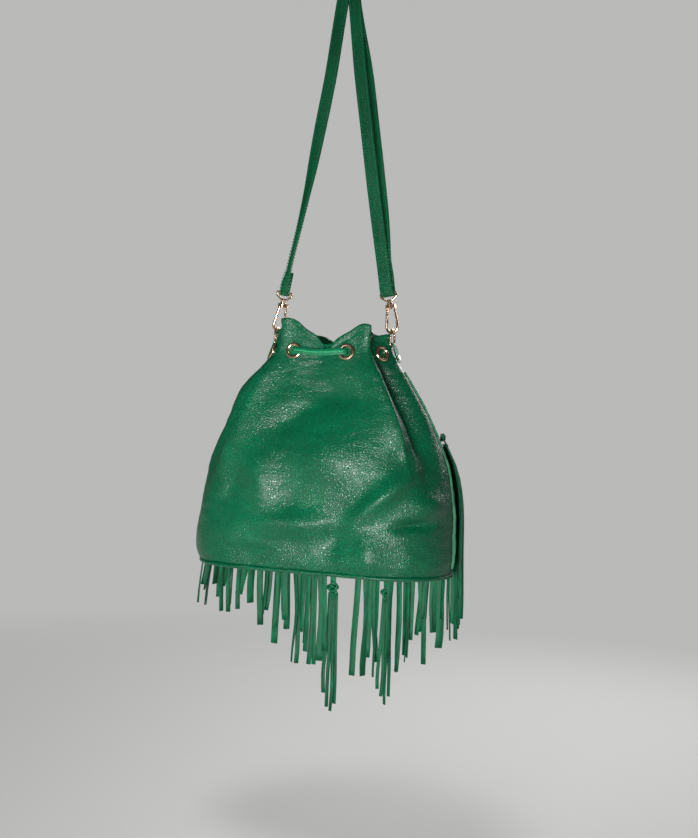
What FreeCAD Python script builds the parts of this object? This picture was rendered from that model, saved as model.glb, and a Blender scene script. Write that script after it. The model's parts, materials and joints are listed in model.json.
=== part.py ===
import FreeCAD, Part
import math
import os

import Sketcher

# A gathered leather bucket bag with a drawcord, knotted fringe and a shoulder strap on swivel snap hooks.
# Origin at the centre of the base underside, +Z up, plain back towards -Y, fringed front towards +Y.

SIZES = {
    # bag body
    "base_width": 298,
    "base_depth": 148,
    "rim_width": 130,
    "rim_depth": 78,
    "bag_height": 266,
    "gather_power": 1.9,
    "leather": 1.6,
    "layer_gap": 0.4,
    "seam_gap": 0.5,
    "lining_cloth": 0.8,
    "facing_drop": 34,
    "base_board": 2,
    "welt_radius": 2.1,
    "welt_inset": 3,
    "side_welt_stand": 3.2,
    "side_welt_width": 2.6,
    # eyelets and drawcord
    "eyelet_drop": 23,
    "eyelet_outer": 9.4,
    "eyelet_inner": 5.6,
    "eyelet_barrel": 6.4,
    "eyelet_flange": 1.6,
    "eyelet_hole": 7,
    "eyelet_pair": 31,
    "eyelet_side": 30,
    "cord_radius": 2.2,
    "cord_stand": 6,
    "cord_inside": 10,
    # hanging cord ends
    "cord_width": 8,
    "cord_thickness": 2.2,
    "cord_knot": 7,
    "cord_knot_level": -34,
    "tassel_length": 144,
    # fringe
    "strip_width": 5.4,
    "strip_thickness": 1.4,
    "strip_length": 212,
    "knot_radius": 4.2,
    "fringe_side_level": 160,
    "fringe_centre_level": 52,
    # strap
    "strap_width": 15,
    "strap_leather": 1.5,
    "leg_angle": 9,
    "apex_radius": 8,
    "fold_length": 26,
    "double_length": 376,
    # snap hook, its ring and the D-ring below it
    "hook_length": 44,
    "bow_level": 268,
    "dring_reach": 69.5,
    "wire": 1.5,
    "thin_wire": 1.2,
    "ring_drop": 8,
    "ring_foot": 3.4,
    "bow_turn": 6.3,
    "stud": 1.3,
    "running": 0.06,
    "dring_turn": 7,
    "dring_leg": 10,
    "tab_width": 10.6,
    "tab_length": 22,
    "tab_leather": 1.4,
    # the hook's barrel, its forked shoulder and its gate
    "barrel_radius": 3.2,
    "barrel_top": 10.5,
    "barrel_foot": 16.8,
    "shoulder_back": 4.4,
    "shoulder_nose": 6.4,
    "shoulder_depth": 5.4,
    "shoulder_height": 4.2,
    "fork_start": 2.4,
    "fork_slot": 3.2,
    "nose_length": 6.4,
    "collar_radius": 2.1,
    "collar_height": 2.2,
    "stud_reach": 9.4,
    "stud_head": 2,
    "stud_head_height": 1.1,
    "gate_x": 4.4,
    "gate_drop": 14.8,
    "pin_radius": 0.75,
    "pin_bore": 0.82,
    "gate_hub": 1.8,
    "gate_hub_width": 1.7,
    "gate_neck": 0.8,
    "gate_arm": 1.3,
    "gate_neck_length": 4,
    "spring_turn": 1.2,
    "spring_wire": 0.17,
    "spring_pitch": 0.25,
    # rivets and slider
    "rivet_head": 2.6,
    "rivet_head_height": 0.8,
    "rivet_clear": 0.1,
    "strap_rivet_stem": 1.2,
    "strap_rivet_drop": 8,
    "tab_rivet_stem": 1,
    "tab_rivet_rise": 6,
    "slider_height": 14,
    "slider_thickness": 1.8,
    "slider_side": 3,
    "slider_window": 4.4,
    "slider_bar": 2,
    "slider_play": 0.8,
}

WALL_START = 4.8
WRAP_CLEAR = 0.2
LINING_DROP_SHARE = 0.004
LINING_STEP_SHARE = 0.02
BOARD_CLEAR = 0.6
BASE_CLEAR = 0.4
BOARD_INSET = 1
WELT_STAND = 0.2
SIDE_WELT_START = 18
SIDE_WELT_TOP_SHARE = 0.8
CUTTER = 40
DRILL_LENGTH = 12
DRILL_DEPTH = 7
LOFT_SHARES = (0, 0.14, 0.3, 0.46, 0.6, 0.72, 0.82, 0.91, 1)
NODES = []

doc = FreeCAD.newDocument("bucket_bag")
sheet = doc.addObject("Spreadsheet::Sheet", "Sizes")
for row, (alias, value) in enumerate(SIZES.items(), start=1):
    sheet.set(f"A{row}", alias)
    sheet.set(f"B{row}", str(value))
    sheet.setAlias(f"B{row}", alias)
doc.recompute()


# ---------------------------------------------------------------- helpers

def size(alias):
    """A driving dimension, read from the sheet."""
    return float(sheet.get(alias))


def vector(x=0, y=0, z=0):
    return FreeCAD.Vector(x, y, z)


def place(x=0, y=0, z=0, axis=(0, 0, 1), angle=0):
    return FreeCAD.Placement(vector(x, y, z), FreeCAD.Rotation(vector(*axis), angle))


def node(shape_object, label):
    """Mark a document object as a finished sub-part: its label names its file."""
    shape_object.Label = label
    NODES.append(shape_object)
    return shape_object


def primitive(kind, placement, **expressions):
    """A Part primitive whose properties are bound to sheet cells or to formulas of them."""
    made = doc.addObject("Part::" + kind, kind)
    for name, expression in expressions.items():
        made.setExpression(name, str(expression))
    made.Placement = placement
    return made


def ball(placement, radius_expr):
    return primitive("Sphere", placement, Radius=radius_expr, Angle1="-90", Angle2="90", Angle3="360")


def ellipsoid(placement, up_expr, across_expr, deep_expr):
    return primitive("Ellipsoid", placement, Radius1=up_expr, Radius2=across_expr, Radius3=deep_expr,
                     Angle1="-90", Angle2="90", Angle3="360")


def torus(placement, major_expr, minor_expr, sweep):
    return primitive("Torus", placement, Radius1=major_expr, Radius2=minor_expr, Angle1="-180",
                     Angle2="180", Angle3=sweep)


def fuse(*parts):
    made = doc.addObject("Part::MultiFuse", "Fuse")
    made.Shapes = list(parts)
    made.Refine = True
    return made


def cut(base, tool):
    made = doc.addObject("Part::Cut", "Cut")
    made.Base = base
    made.Tool = tool
    return made


def common(base, tool):
    made = doc.addObject("Part::Common", "Common")
    made.Base = base
    made.Tool = tool
    return made


def group(parts):
    """Several separate solids kept in one object."""
    made = doc.addObject("Part::Compound", "Group")
    made.Links = list(parts)
    return made


def copies(master, placements):
    """Linked copies of one solid, kept as a group of separate solids."""
    links = []
    for spot in placements:
        link = doc.addObject("App::Link", "Copy")
        link.LinkedObject = master
        link.LinkTransform = False
        link.Placement = spot
        links.append(link)
    return group(links)


def shaped(shape, label, placement=None):
    """A free form that no feature makes, such as leather bent along a curve."""
    made = doc.addObject("Part::Feature", label)
    made.Shape = shape
    if placement is not None:
        made.Placement = placement
    return node(made, label)


def half_space(frame, above):
    """A large box that fills the space above or below a frame's own XY plane."""
    corner = frame.multiply(place(-CUTTER / 2, -CUTTER / 2, 0 if above else -CUTTER))
    return primitive("Box", corner, Length=CUTTER, Width=CUTTER, Height=CUTTER)


def origin_plane(body, role):
    return next(f for f in body.Origin.OriginFeatures if f.Role == role)


def oval_sketch(body, name, role, centre_expr, radius_expr, offset_expr="0"):
    """A stadium on an origin plane: two straights and two half circles, bound to the sheet."""
    sketch = body.newObject("Sketcher::SketchObject", name)
    sketch.AttachmentSupport = (origin_plane(body, role), "")
    sketch.MapMode = "FlatFace"
    sketch.setExpression("AttachmentOffset.Base.z", offset_expr)
    centre, radius = 40, 20
    normal = vector(0, 0, 1)
    right = Part.ArcOfCircle(Part.Circle(vector(centre), normal, radius), -math.pi / 2, math.pi / 2)
    left = Part.ArcOfCircle(Part.Circle(vector(-centre), normal, radius), math.pi / 2, 3 * math.pi / 2)
    sketch.addGeometry([
        Part.LineSegment(vector(-centre, radius), vector(centre, radius)),
        right,
        Part.LineSegment(vector(centre, -radius), vector(-centre, -radius)),
        left,
    ])
    constraint = Sketcher.Constraint
    sketch.addConstraint([
        constraint("Tangent", 0, 2, 1, 2),
        constraint("Tangent", 1, 1, 2, 1),
        constraint("Tangent", 2, 2, 3, 2),
        constraint("Tangent", 3, 1, 0, 1),
        constraint("Horizontal", 0),
        constraint("PointOnObject", 1, 3, -1),
        constraint("Symmetric", 1, 3, 3, 3, -1, 1),
    ])
    across = sketch.addConstraint(constraint("DistanceX", -1, 1, 1, 3, centre))
    around = sketch.addConstraint(constraint("Radius", 1, radius))
    sketch.setExpression(f"Constraints[{across}]", centre_expr)
    sketch.setExpression(f"Constraints[{around}]", radius_expr)
    return sketch


# ---------------------------------------------------------------- the wall's outline

def gathered(level, rim, base):
    """Half a width or depth of the gathered wall at a level."""
    fold = math.cos(math.pi / 2 * (level / size("bag_height")) ** size("gather_power")) ** 2
    return (size(rim) + (size(base) - size(rim)) * fold) / 2


def gathered_expr(share, rim, base):
    """The same rule as a formula for a sketch, at a share of the bag's height."""
    fold = f"cos(90deg * pow({share}; Sizes.gather_power))^2"
    return f"(Sizes.{rim} + (Sizes.{base} - Sizes.{rim}) * {fold}) / 2"


def wall_point(angle, level, stand=0.0):
    """A point that stands off the wall at a level, and the level outward normal there.

    The angle turns from +X at 0 to the front (+Y) at 90 and the back (-Y) at -90 degrees."""
    depth = gathered(level, "rim_depth", "base_depth")
    straight = gathered(level, "rim_width", "base_width") - depth
    outward = vector(math.cos(math.radians(angle)), math.sin(math.radians(angle)))
    centre = vector(straight if outward.x > 0 else -straight)
    return centre + outward * (depth + stand), outward


def flat_point(across, side, level, stand=0.0):
    """The wall's point at a distance across the bag, on the front (side 1) or back (side -1)."""
    depth = gathered(level, "rim_depth", "base_depth")
    straight = gathered(level, "rim_width", "base_width") - depth
    over = max(abs(across) - straight, 0)
    lean = math.degrees(math.asin(min(over / depth, 1)))
    heading = 90 - lean if across >= 0 else 90 + lean
    outward = vector(math.cos(math.radians(heading)), side * math.sin(math.radians(heading)))
    middle = vector(max(min(across, straight), -straight))
    return middle + outward * (depth + stand) + vector(0, 0, level), outward


def wall_reach(level, outward):
    """How far the wall's outline reaches from the bag's axis in a level direction."""
    depth = gathered(level, "rim_depth", "base_depth")
    straight = gathered(level, "rim_width", "base_width") - depth
    return straight * abs(outward.x) + depth


def wall_lean(level, outward):
    """How far the wall leans back from upright at a level, in degrees."""
    step = 2.0
    rise = wall_reach(level - step, outward) - wall_reach(level + step, outward)
    return math.degrees(math.atan2(rise, 2 * step))


def wall_loft(body, kind, inset_expr, name, low_expr, shares):
    """One smooth loft of ovals from a low level up to a share of the bag's height."""
    sketches = []
    for number, share in enumerate(shares):
        half_width = gathered_expr(share, "rim_width", "base_width")
        half_depth = gathered_expr(share, "rim_depth", "base_depth")
        sketches.append(oval_sketch(
            body, f"{name}_{number}", "XY_Plane",
            f"{half_width} - ({half_depth})",
            f"{half_depth} - ({inset_expr})",
            low_expr if number == 0 else f"{share} * Sizes.bag_height",
        ))
    loft = body.newObject("PartDesign::" + kind, name)
    loft.Profile = sketches[0]
    loft.Sections = sketches[1:]
    return loft


def wall_body(name, outer_inset, inner_inset, low, inner_low, shares):
    """A hollow gathered wall, open at the top, between two insets from the outer surface."""
    body = doc.addObject("PartDesign::Body", name)
    wall_loft(body, "AdditiveLoft", outer_inset, name + "_outer", low, shares)
    wall_loft(body, "SubtractiveLoft", inner_inset, name + "_inner", inner_low, shares)
    return body


# ---------------------------------------------------------------- bag body

LAYER_IN = "(Sizes.leather + Sizes.layer_gap)"


def eyelet_spots():
    """Where each eyelet sits on the wall's outer surface, and which way it faces."""
    level = size("bag_height") - size("eyelet_drop")
    spots = []
    for side in (-1, 1):
        for across in (-size("eyelet_pair"), size("eyelet_pair")):
            spots.append(flat_point(across, side, level))
        for end in (-1, 1):
            point, outward = wall_point(side * size("eyelet_side"), level)
            spots.append((vector(end * point.x, point.y, level), vector(end * outward.x, outward.y)))
    return spots


def eyelet_placements():
    """Placements that turn a local +Z to face out of the wall, leaning back with it."""
    placements = []
    for point, outward in eyelet_spots():
        lean = math.radians(wall_lean(point.z, outward))
        facing = outward * math.cos(lean) + vector(0, 0, math.sin(lean))
        placements.append(FreeCAD.Placement(point, FreeCAD.Rotation(vector(0, 0, 1), facing)))
    return placements


def eyelet_holes():
    drill = primitive("Cylinder", place(), Radius="Sizes.eyelet_hole", Height=DRILL_LENGTH)
    drill.Label = "eyelet_drill"
    shifted = [spot.multiply(place(z=-DRILL_DEPTH)) for spot in eyelet_placements()]
    return copies(drill, shifted)


def half_box(side):
    """The half space of the front (side 1) or back (side -1), less half the seam gap."""
    reach = size("base_width")
    low = size("seam_gap") / 2 if side > 0 else -reach - size("seam_gap") / 2
    return primitive("Box", place(-reach, low, -reach / 4), Length=2 * reach, Width=reach, Height=2 * reach)


def make_panels(holes):
    wall = wall_body("bag_wall", "0", "Sizes.leather", str(WALL_START), str(WALL_START), LOFT_SHARES)
    node(cut(common(wall, half_box(-1)), holes), "back_panel")
    node(cut(common(wall, half_box(1)), holes), "front_panel")


def make_facing_and_lining(holes):
    split = f"{size('bag_height') - size('facing_drop')} / {size('bag_height')}"
    split_share = 1 - size("facing_drop") / size("bag_height")
    facing_in = f"({LAYER_IN} + Sizes.leather)"
    shares = [split_share + (1 - split_share) * step / 2 for step in (0, 1, 2)]
    facing = wall_body("facing_wall", LAYER_IN, facing_in, f"{split} * Sizes.bag_height",
                       f"{split} * Sizes.bag_height", shares)
    node(cut(facing, holes), "top_facing")
    cloth_top = split_share - LINING_DROP_SHARE
    shares = [share for share in LOFT_SHARES if share < cloth_top - LINING_STEP_SHARE] + [cloth_top]
    floor = WALL_START + size("base_board") + BOARD_CLEAR
    cloth_in = f"({LAYER_IN} + Sizes.lining_cloth)"
    cloth_floor = f"{floor} + Sizes.lining_cloth"
    lining = wall_body("lining_body", LAYER_IN, cloth_in, str(floor), cloth_floor, shares)
    node(lining, "lining")


def make_base():
    panel = doc.addObject("PartDesign::Body", "base_plate")
    inset = f"(Sizes.welt_inset + Sizes.welt_radius + {BASE_CLEAR})"
    outline = oval_sketch(panel, "base_outline", "XY_Plane", "(Sizes.base_width - Sizes.base_depth) / 2",
                          f"Sizes.base_depth / 2 - {inset}")
    pad = panel.newObject("PartDesign::Pad", "base_pad")
    pad.Profile = outline
    pad.setExpression("Length", f"Sizes.leather + {BASE_CLEAR}")
    node(panel, "base_panel")
    board = doc.addObject("PartDesign::Body", "board_plate")
    outline = oval_sketch(board, "board_outline", "XY_Plane", "(Sizes.base_width - Sizes.base_depth) / 2",
                          f"Sizes.base_depth / 2 - {inset} - {BOARD_INSET}", str(WALL_START))
    pad = board.newObject("PartDesign::Pad", "board_pad")
    pad.Profile = outline
    pad.setExpression("Length", "Sizes.base_board")
    node(board, "base_board")


def make_base_welt():
    welt = doc.addObject("PartDesign::Body", "welt_ring")
    middle = size("base_depth") / 2 - size("welt_inset")
    path = oval_sketch(welt, "welt_path", "XY_Plane", "(Sizes.base_width - Sizes.base_depth) / 2",
                       "Sizes.base_depth / 2 - Sizes.welt_inset", f"Sizes.welt_radius + {WELT_STAND}")
    section = welt.newObject("Sketcher::SketchObject", "welt_section")
    section.AttachmentSupport = (origin_plane(welt, "YZ_Plane"), "")
    section.MapMode = "FlatFace"
    circle = section.addGeometry(Part.Circle(vector(middle, 2), vector(0, 0, 1), 2))
    radius = section.addConstraint(Sketcher.Constraint("Radius", circle, 2))
    section.setExpression(f"Constraints[{radius}]", "Sizes.welt_radius")
    out = section.addConstraint(Sketcher.Constraint("DistanceX", -1, 1, circle, 3, middle))
    section.setExpression(f"Constraints[{out}]", "Sizes.base_depth / 2 - Sizes.welt_inset")
    up = section.addConstraint(Sketcher.Constraint("DistanceY", -1, 1, circle, 3, 2))
    section.setExpression(f"Constraints[{up}]", f"Sizes.welt_radius + {WELT_STAND}")
    doc.recompute()
    pipe = welt.newObject("PartDesign::AdditivePipe", "welt_pipe")
    pipe.Profile = section
    pipe.Spine = (path, ["Edge1", "Edge2", "Edge3", "Edge4"])
    node(welt, "base_welt")


def make_side_welts():
    """A thin strip standing off the side seam, from the base up to just below the tab."""
    shares = [share for share in LOFT_SHARES if share < SIDE_WELT_TOP_SHARE]
    start = str(SIDE_WELT_START)
    shell = wall_body("side_welt_shell", "-Sizes.side_welt_stand", "-Sizes.layer_gap", start, start, shares)
    reach = size("base_width")
    for label, near_x in (("side_welt_left", -reach), ("side_welt_right", 0)):
        slab = primitive("Box", place(near_x, -size("side_welt_width") / 2, 0), Length=reach,
                         Width="Sizes.side_welt_width", Height=reach)
        node(common(shell, slab), label)


# ---------------------------------------------------------------- eyelets and drawcord

CORD_BEND = 4.5
CORD_BEND_STEPS = 3
CORD_INSIDE_ANGLES = (-55, -30, 0, 30, 55)
EYELET_SEAT = 0.8
EYELET_TAIL = 1.9
EYELET_RIM = 0.3
CROWN_STEPS = 8
WASHER_THICKNESS = 0.7


def revolved(name, points):
    """A body turned about Z from a closed outline of (radius, height) corners."""
    body = doc.addObject("PartDesign::Body", name)
    sketch = body.newObject("Sketcher::SketchObject", name + "_outline")
    sketch.AttachmentSupport = (origin_plane(body, "XZ_Plane"), "")
    sketch.MapMode = "FlatFace"
    ends = [vector(radius, height) for radius, height in points]
    for start, stop in zip(ends, ends[1:] + ends[:1]):
        sketch.addGeometry(Part.LineSegment(start, stop))
    count = len(points)
    for corner in range(count):
        sketch.addConstraint(Sketcher.Constraint("Coincident", corner, 2, (corner + 1) % count, 1))
    turn = body.newObject("PartDesign::Revolution", name + "_turn")
    turn.Profile = sketch
    turn.ReferenceAxis = (sketch, ["V_Axis"])
    turn.Angle = 360
    return body


def make_eyelets():
    flange, hollow = size("eyelet_outer"), size("eyelet_inner")
    barrel, thick = size("eyelet_barrel"), size("eyelet_flange")
    depth = 2 * size("leather") + size("layer_gap") + EYELET_TAIL
    middle, half = (flange + hollow) / 2, (flange - hollow) / 2
    crown = []
    for step in range(CROWN_STEPS + 1):
        angle = math.pi * step / CROWN_STEPS
        crown.append((middle + half * math.cos(angle), EYELET_SEAT + EYELET_RIM + thick * math.sin(angle)))
    face = revolved("eyelet", [
        (hollow, -depth), (barrel, -depth), (barrel, EYELET_SEAT), (flange, EYELET_SEAT), *crown,
    ])
    node(copies(face, eyelet_placements()), "eyelets")
    inner, outer, top = barrel + size("rivet_clear"), flange - 1, -depth + WASHER_THICKNESS
    ring = revolved("washer", [(inner, -depth), (outer, -depth), (outer, top), (inner, top)])
    node(copies(ring, eyelet_placements()), "eyelet_washers")


def curve_pipe(points, radius):
    """A round cord through points, as one smooth sweep."""
    spline = Part.BSplineCurve()
    spline.interpolate(points)
    spine = Part.Wire(spline.toShape())
    start, heading = spline.value(spline.FirstParameter), spline.tangent(spline.FirstParameter)[0]
    profile = Part.Wire(Part.Circle(start, heading, radius).toShape())
    return spine.makePipeShell([profile], True, False)


def cord_bend(end, centre_across, centre_stand, start_angle, stop_angle):
    """Points of a round bend in the cord, seen from above, about a centre that stands off the back wall."""
    level = size("bag_height") - size("eyelet_drop")
    points = []
    for step in range(CORD_BEND_STEPS + 1):
        angle = math.radians(start_angle + (stop_angle - start_angle) * step / CORD_BEND_STEPS)
        across = centre_across + CORD_BEND * math.cos(angle)
        stand = centre_stand + CORD_BEND * math.sin(angle)
        points.append(flat_point(end * across, -1, level, stand)[0])
    return points


def make_drawcord():
    """The cord: outside between the back pair of eyelets, inside round both sides to the front pair."""
    level = size("bag_height") - size("eyelet_drop")
    outside, inside, span = size("cord_stand"), size("cord_inside"), size("eyelet_pair")
    halves = []
    for end in (-1, 1):
        half = cord_bend(end, span - CORD_BEND, outside - CORD_BEND, 90, 0)
        half += cord_bend(end, span + CORD_BEND, CORD_BEND - inside, 180, 270)
        for angle in CORD_INSIDE_ANGLES:
            point, _ = wall_point(angle, level, -inside)
            half.append(vector(end * point.x, point.y, level))
        half.append(flat_point(end * (span - CORD_BEND), 1, level, -inside)[0])
        halves.append(half)
    crossing = [flat_point(across, -1, level, outside)[0] for across in (-span / 2, 0, span / 2)]
    points = halves[0][::-1] + crossing + halves[1]
    shaped(curve_pipe(points, size("cord_radius")), "drawcord")


# ---------------------------------------------------------------- cord ends and fringe

def strip_solid(points, facing, width, thickness):
    """A flat strip of leather bent through points: a band drawn edge-on, made as wide as the strip."""
    across = facing.cross(vector(0, 0, 1))
    across.normalize()
    outer = [point + facing * (thickness / 2) for point in points]
    inner = [point - facing * (thickness / 2) for point in points]
    outline = Part.makePolygon(outer + inner[::-1] + outer[:1])
    band = Part.Face(outline)
    band.translate(across * (-width / 2))
    return band.extrude(across * width)


CORD_CLEAR = 13
CORD_WIDE_SHARE = 0.62
TASSEL_STEP = 6
CORD_START_STAND = 9.5
CORD_FOOT_LEFT = -20
CORD_FOOT_RIGHT = 48
TASSEL_PITCH = 4.4
TASSEL_STRIP = 3.8
TASSEL_GAP = 0.6
KNOT_TRIM = 0.2
KNOT_FLAT = 1.2
KNOT_LOW = 2


def make_cord_ends():
    """Each hanging end of the cord, its knot and the three strips below the knot."""
    level = size("bag_height") - size("eyelet_drop")
    knot_level = size("cord_knot_level")
    out = size("base_depth") / 2 + CORD_CLEAR
    for name, eyelet_x, foot_x in (("left", -size("eyelet_pair"), CORD_FOOT_LEFT),
                                   ("right", size("eyelet_pair"), CORD_FOOT_RIGHT)):
        start, _ = flat_point(eyelet_x, 1, level, CORD_START_STAND)
        wide_level = level * CORD_WIDE_SHARE
        wide, _ = flat_point(eyelet_x, 1, wide_level, CORD_CLEAR)
        points = [
            vector(0, start.y, level - size("eyelet_outer") - 1),
            vector(0, wide.y, wide_level),
            vector(0, out, size("fringe_centre_level")),
            vector(0, out, knot_level + size("cord_knot") + 1),
        ]
        cord = strip_solid(points, vector(0, 1, 0), size("cord_width"), size("cord_thickness"))
        lean = math.degrees(math.atan2(foot_x - eyelet_x, level - knot_level))
        swing = place(eyelet_x, 0, level, (0, 1, 0), -lean).multiply(place(z=-level))
        shaped(cord, f"cord_end_{name}", swing)
        knot = ellipsoid(place(foot_x, out, knot_level), f"Sizes.cord_knot - {KNOT_TRIM}",
                         f"Sizes.cord_knot - {KNOT_FLAT}", f"Sizes.cord_knot - {KNOT_LOW}")
        node(knot, f"cord_knot_{name}")
        top = knot_level - size("cord_knot") - TASSEL_GAP
        strips = []
        for index in (-1, 0, 1):
            shorter = TASSEL_STEP * abs(index)
            near_x = foot_x + index * TASSEL_PITCH - TASSEL_STRIP / 2
            near_y = out - size("strip_thickness") / 2
            corner = place(near_x, near_y, top - size("tassel_length") + shorter)
            strips.append(primitive("Box", corner, Length=TASSEL_STRIP, Width="Sizes.strip_thickness",
                                    Height=f"Sizes.tassel_length - {shorter}"))
        node(group(strips), f"cord_tassel_{name}")


# Each fringe group: its side, then where its first and last strips hang, as shares of the way from the
# middle of the front to the side seam.
FRINGE_GROUPS = {
    "fringe_left_side": (-1, 0.70, 1.00),
    "fringe_left_front": (-1, 0.42, 0.67),
    "fringe_left_centre": (-1, 0.15, 0.39),
    "fringe_right_centre": (1, 0.08, 0.22),
    "fringe_right_front": (1, 0.32, 0.66),
    "fringe_right_side": (1, 0.69, 1.00),
}
STRIPS_PER_KNOT = 3
KNOT_SPACE = 2
KNOT_GAP = 1.6
FRONT_RUN = 180
STRIP_STAND = 2.6
STRIP_LEAVES = 16
STRIP_STEPS = 5
STRIP_GAP = 0.4
SIDE_TURN_ANGLE = 82
KNOT_SEAT = 0.5
KNOT_SHORT = 0.6
KNOT_WIDE = 2


def fringe_level(share):
    """The level of the knots, falling from the side seams to the middle of the front."""
    low, high = size("fringe_centre_level"), size("fringe_side_level")
    return low + (high - low) * share


def front_spot(side, share):
    """The wall's point and outward direction, at a share of the way from mid-front to the side seam."""
    level = fringe_level(share)
    depth = gathered(level, "rim_depth", "base_depth")
    straight = gathered(level, "rim_width", "base_width") - depth
    turn = depth * math.radians(SIDE_TURN_ANGLE)
    along = share * (straight + turn)
    if along <= straight:
        outward = vector(0, 1, 0)
        middle = vector(side * along, 0, level)
    else:
        angle = math.radians(90) - (along - straight) / depth
        outward = vector(side * math.cos(angle), math.sin(angle), 0)
        middle = vector(side * straight, 0, level)
    return middle, outward, depth


def strip_path(level, outward):
    """Where a strip runs below its knot: down along the widening wall, then straight down."""
    top = level - size("knot_radius") - KNOT_GAP
    start = wall_reach(level, outward)
    points = []
    for step in range(STRIP_STEPS + 1):
        height = top + (STRIP_LEAVES - top) * step / STRIP_STEPS
        points.append(vector(0, 0, height) + outward * (wall_reach(height, outward) - start + STRIP_STAND))
    points.append(vector(points[-1].x, points[-1].y, top - size("strip_length")))
    return points


def make_fringe():
    pitch = size("strip_width") + STRIP_GAP
    knots = {-1: [], 1: []}
    for name, (side, first, last) in FRINGE_GROUPS.items():
        run = (last - first) * FRONT_RUN
        count = max(1, round(run / (STRIPS_PER_KNOT * pitch + KNOT_SPACE)))
        strips = []
        for number in range(count):
            share = first + (last - first) * (2 * number + 1) / (2 * count)
            middle, outward, depth = front_spot(side, share)
            foot = middle + outward * depth
            heading = math.degrees(math.atan2(outward.y, outward.x)) - 90
            knot_at = foot + outward * (size("knot_radius") + KNOT_SEAT)
            knots[side].append(place(knot_at.x, knot_at.y, knot_at.z, (0, 0, 1), heading))
            across = outward.cross(vector(0, 0, 1))
            path = strip_path(foot.z, outward)
            for index in range(STRIPS_PER_KNOT):
                offset = across * (pitch * (index - (STRIPS_PER_KNOT - 1) / 2))
                level_foot = vector(foot.x, foot.y, 0)
                points = [point + level_foot + offset for point in path]
                strips.append(strip_solid(points, outward, size("strip_width"), size("strip_thickness")))
        shaped(Part.makeCompound(strips), name)
    knot = ellipsoid(place(), f"Sizes.knot_radius - {KNOT_SHORT}", f"Sizes.knot_radius + {KNOT_WIDE}",
                     "Sizes.knot_radius")
    for label, spots in (("fringe_knots_left", knots[-1]), ("fringe_knots_right", knots[1])):
        node(copies(knot, spots), label)


# ---------------------------------------------------------------- strap, hooks and rings

LEG_LAP = 2
RING_SIDE = 1.7
RING_SHOULDER = -3.6


def side_frame(side):
    """The frame of one strap end: origin at the ring's top bar, -Z down the hook, Y as the bag's own."""
    angle = size("leg_angle")
    reach = size("dring_reach") - size("hook_length") * math.sin(math.radians(angle))
    level = size("bow_level") + size("hook_length") * math.cos(math.radians(angle))
    return place(side * reach, 0, level, (0, 1, 0), -side * angle)


def leg_length():
    """From a ring's top bar up to where the strap starts to bend over its hanging point."""
    reach = side_frame(1).Base.x
    return reach / math.sin(math.radians(size("leg_angle")))


def leg_frame(side):
    """A strap leg's frame: it leans to the front on the left and to the back on the right."""
    run = size("apex_radius") + size("strap_leather") / 2
    shift = layer_middle() - side * run
    lean = math.degrees(math.atan2(shift, leg_length()))
    return side_frame(side).multiply(place(axis=(1, 0, 0), angle=-lean))


def layer_middle():
    """How far a strap layer's middle stands in front of the ring bar's middle."""
    return size("thin_wire") + WRAP_CLEAR + size("strap_leather") / 2


def strap_layer(frame, front, length_expr):
    """One flat layer of strap up a leg, in front of (-Y) or behind the ring bar."""
    middle = layer_middle() * (-1 if front else 1)
    corner = place(-size("strap_width") / 2, middle - size("strap_leather") / 2, 0)
    return primitive("Box", frame.multiply(corner), Length="Sizes.strap_width", Width="Sizes.strap_leather",
                     Height=length_expr)


def strap_turn(frame):
    """The half turn of strap under the ring's top bar."""
    across = frame.multiply(place(-size("strap_width") / 2, axis=(0, 1, 0), angle=90))
    inner = size("thin_wire") + WRAP_CLEAR
    outer = primitive("Cylinder", across, Radius=f"{inner} + Sizes.strap_leather",
                      Height="Sizes.strap_width")
    bore = primitive("Cylinder", across, Radius=inner, Height="Sizes.strap_width")
    return cut(cut(outer, bore), half_space(frame, True))


def apex_arch():
    """The strap's bend over its hanging point, a half ring about X."""
    level = side_frame(1).Base.z + leg_length() * math.cos(math.radians(size("leg_angle")))
    across = place(-size("strap_width") / 2, 0, level, (0, 1, 0), 90)
    outer = primitive("Cylinder", across, Radius="Sizes.apex_radius + Sizes.strap_leather",
                      Height="Sizes.strap_width")
    bore = primitive("Cylinder", across, Radius="Sizes.apex_radius", Height="Sizes.strap_width")
    return cut(cut(outer, bore), half_space(place(z=level), False))


def make_strap():
    left, right = leg_frame(-1), leg_frame(1)
    leg = leg_length() + LEG_LAP
    band = fuse(
        strap_layer(left, True, leg),
        strap_turn(left),
        strap_layer(left, False, "Sizes.fold_length"),
        strap_layer(right, True, leg),
        strap_turn(right),
        strap_layer(right, False, "Sizes.double_length"),
        apex_arch(),
    )
    level = size("fold_length") - size("strap_rivet_drop")
    stem_length = 2 * layer_middle() + size("strap_leather") + 2 * WRAP_CLEAR
    stem_spot = left.multiply(place(0, stem_length / 2, level, (1, 0, 0), 90))
    bore_spot = stem_spot.multiply(place(z=-stem_length))
    bore = primitive("Cylinder", bore_spot, Radius="Sizes.strap_rivet_stem + Sizes.rivet_clear",
                     Height=3 * stem_length)
    node(cut(band, bore), "strap_band")
    low_head = stem_spot.multiply(place(z=-size("rivet_head_height")))
    high_head = stem_spot.multiply(place(z=stem_length))
    rivet = fuse(
        primitive("Cylinder", stem_spot, Radius="Sizes.strap_rivet_stem", Height=stem_length),
        primitive("Cylinder", low_head, Radius="Sizes.rivet_head", Height="Sizes.rivet_head_height"),
        primitive("Cylinder", high_head, Radius="Sizes.rivet_head", Height="Sizes.rivet_head_height"),
    )
    node(rivet, "strap_rivet")


SLIDER_CUT = 2


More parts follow.
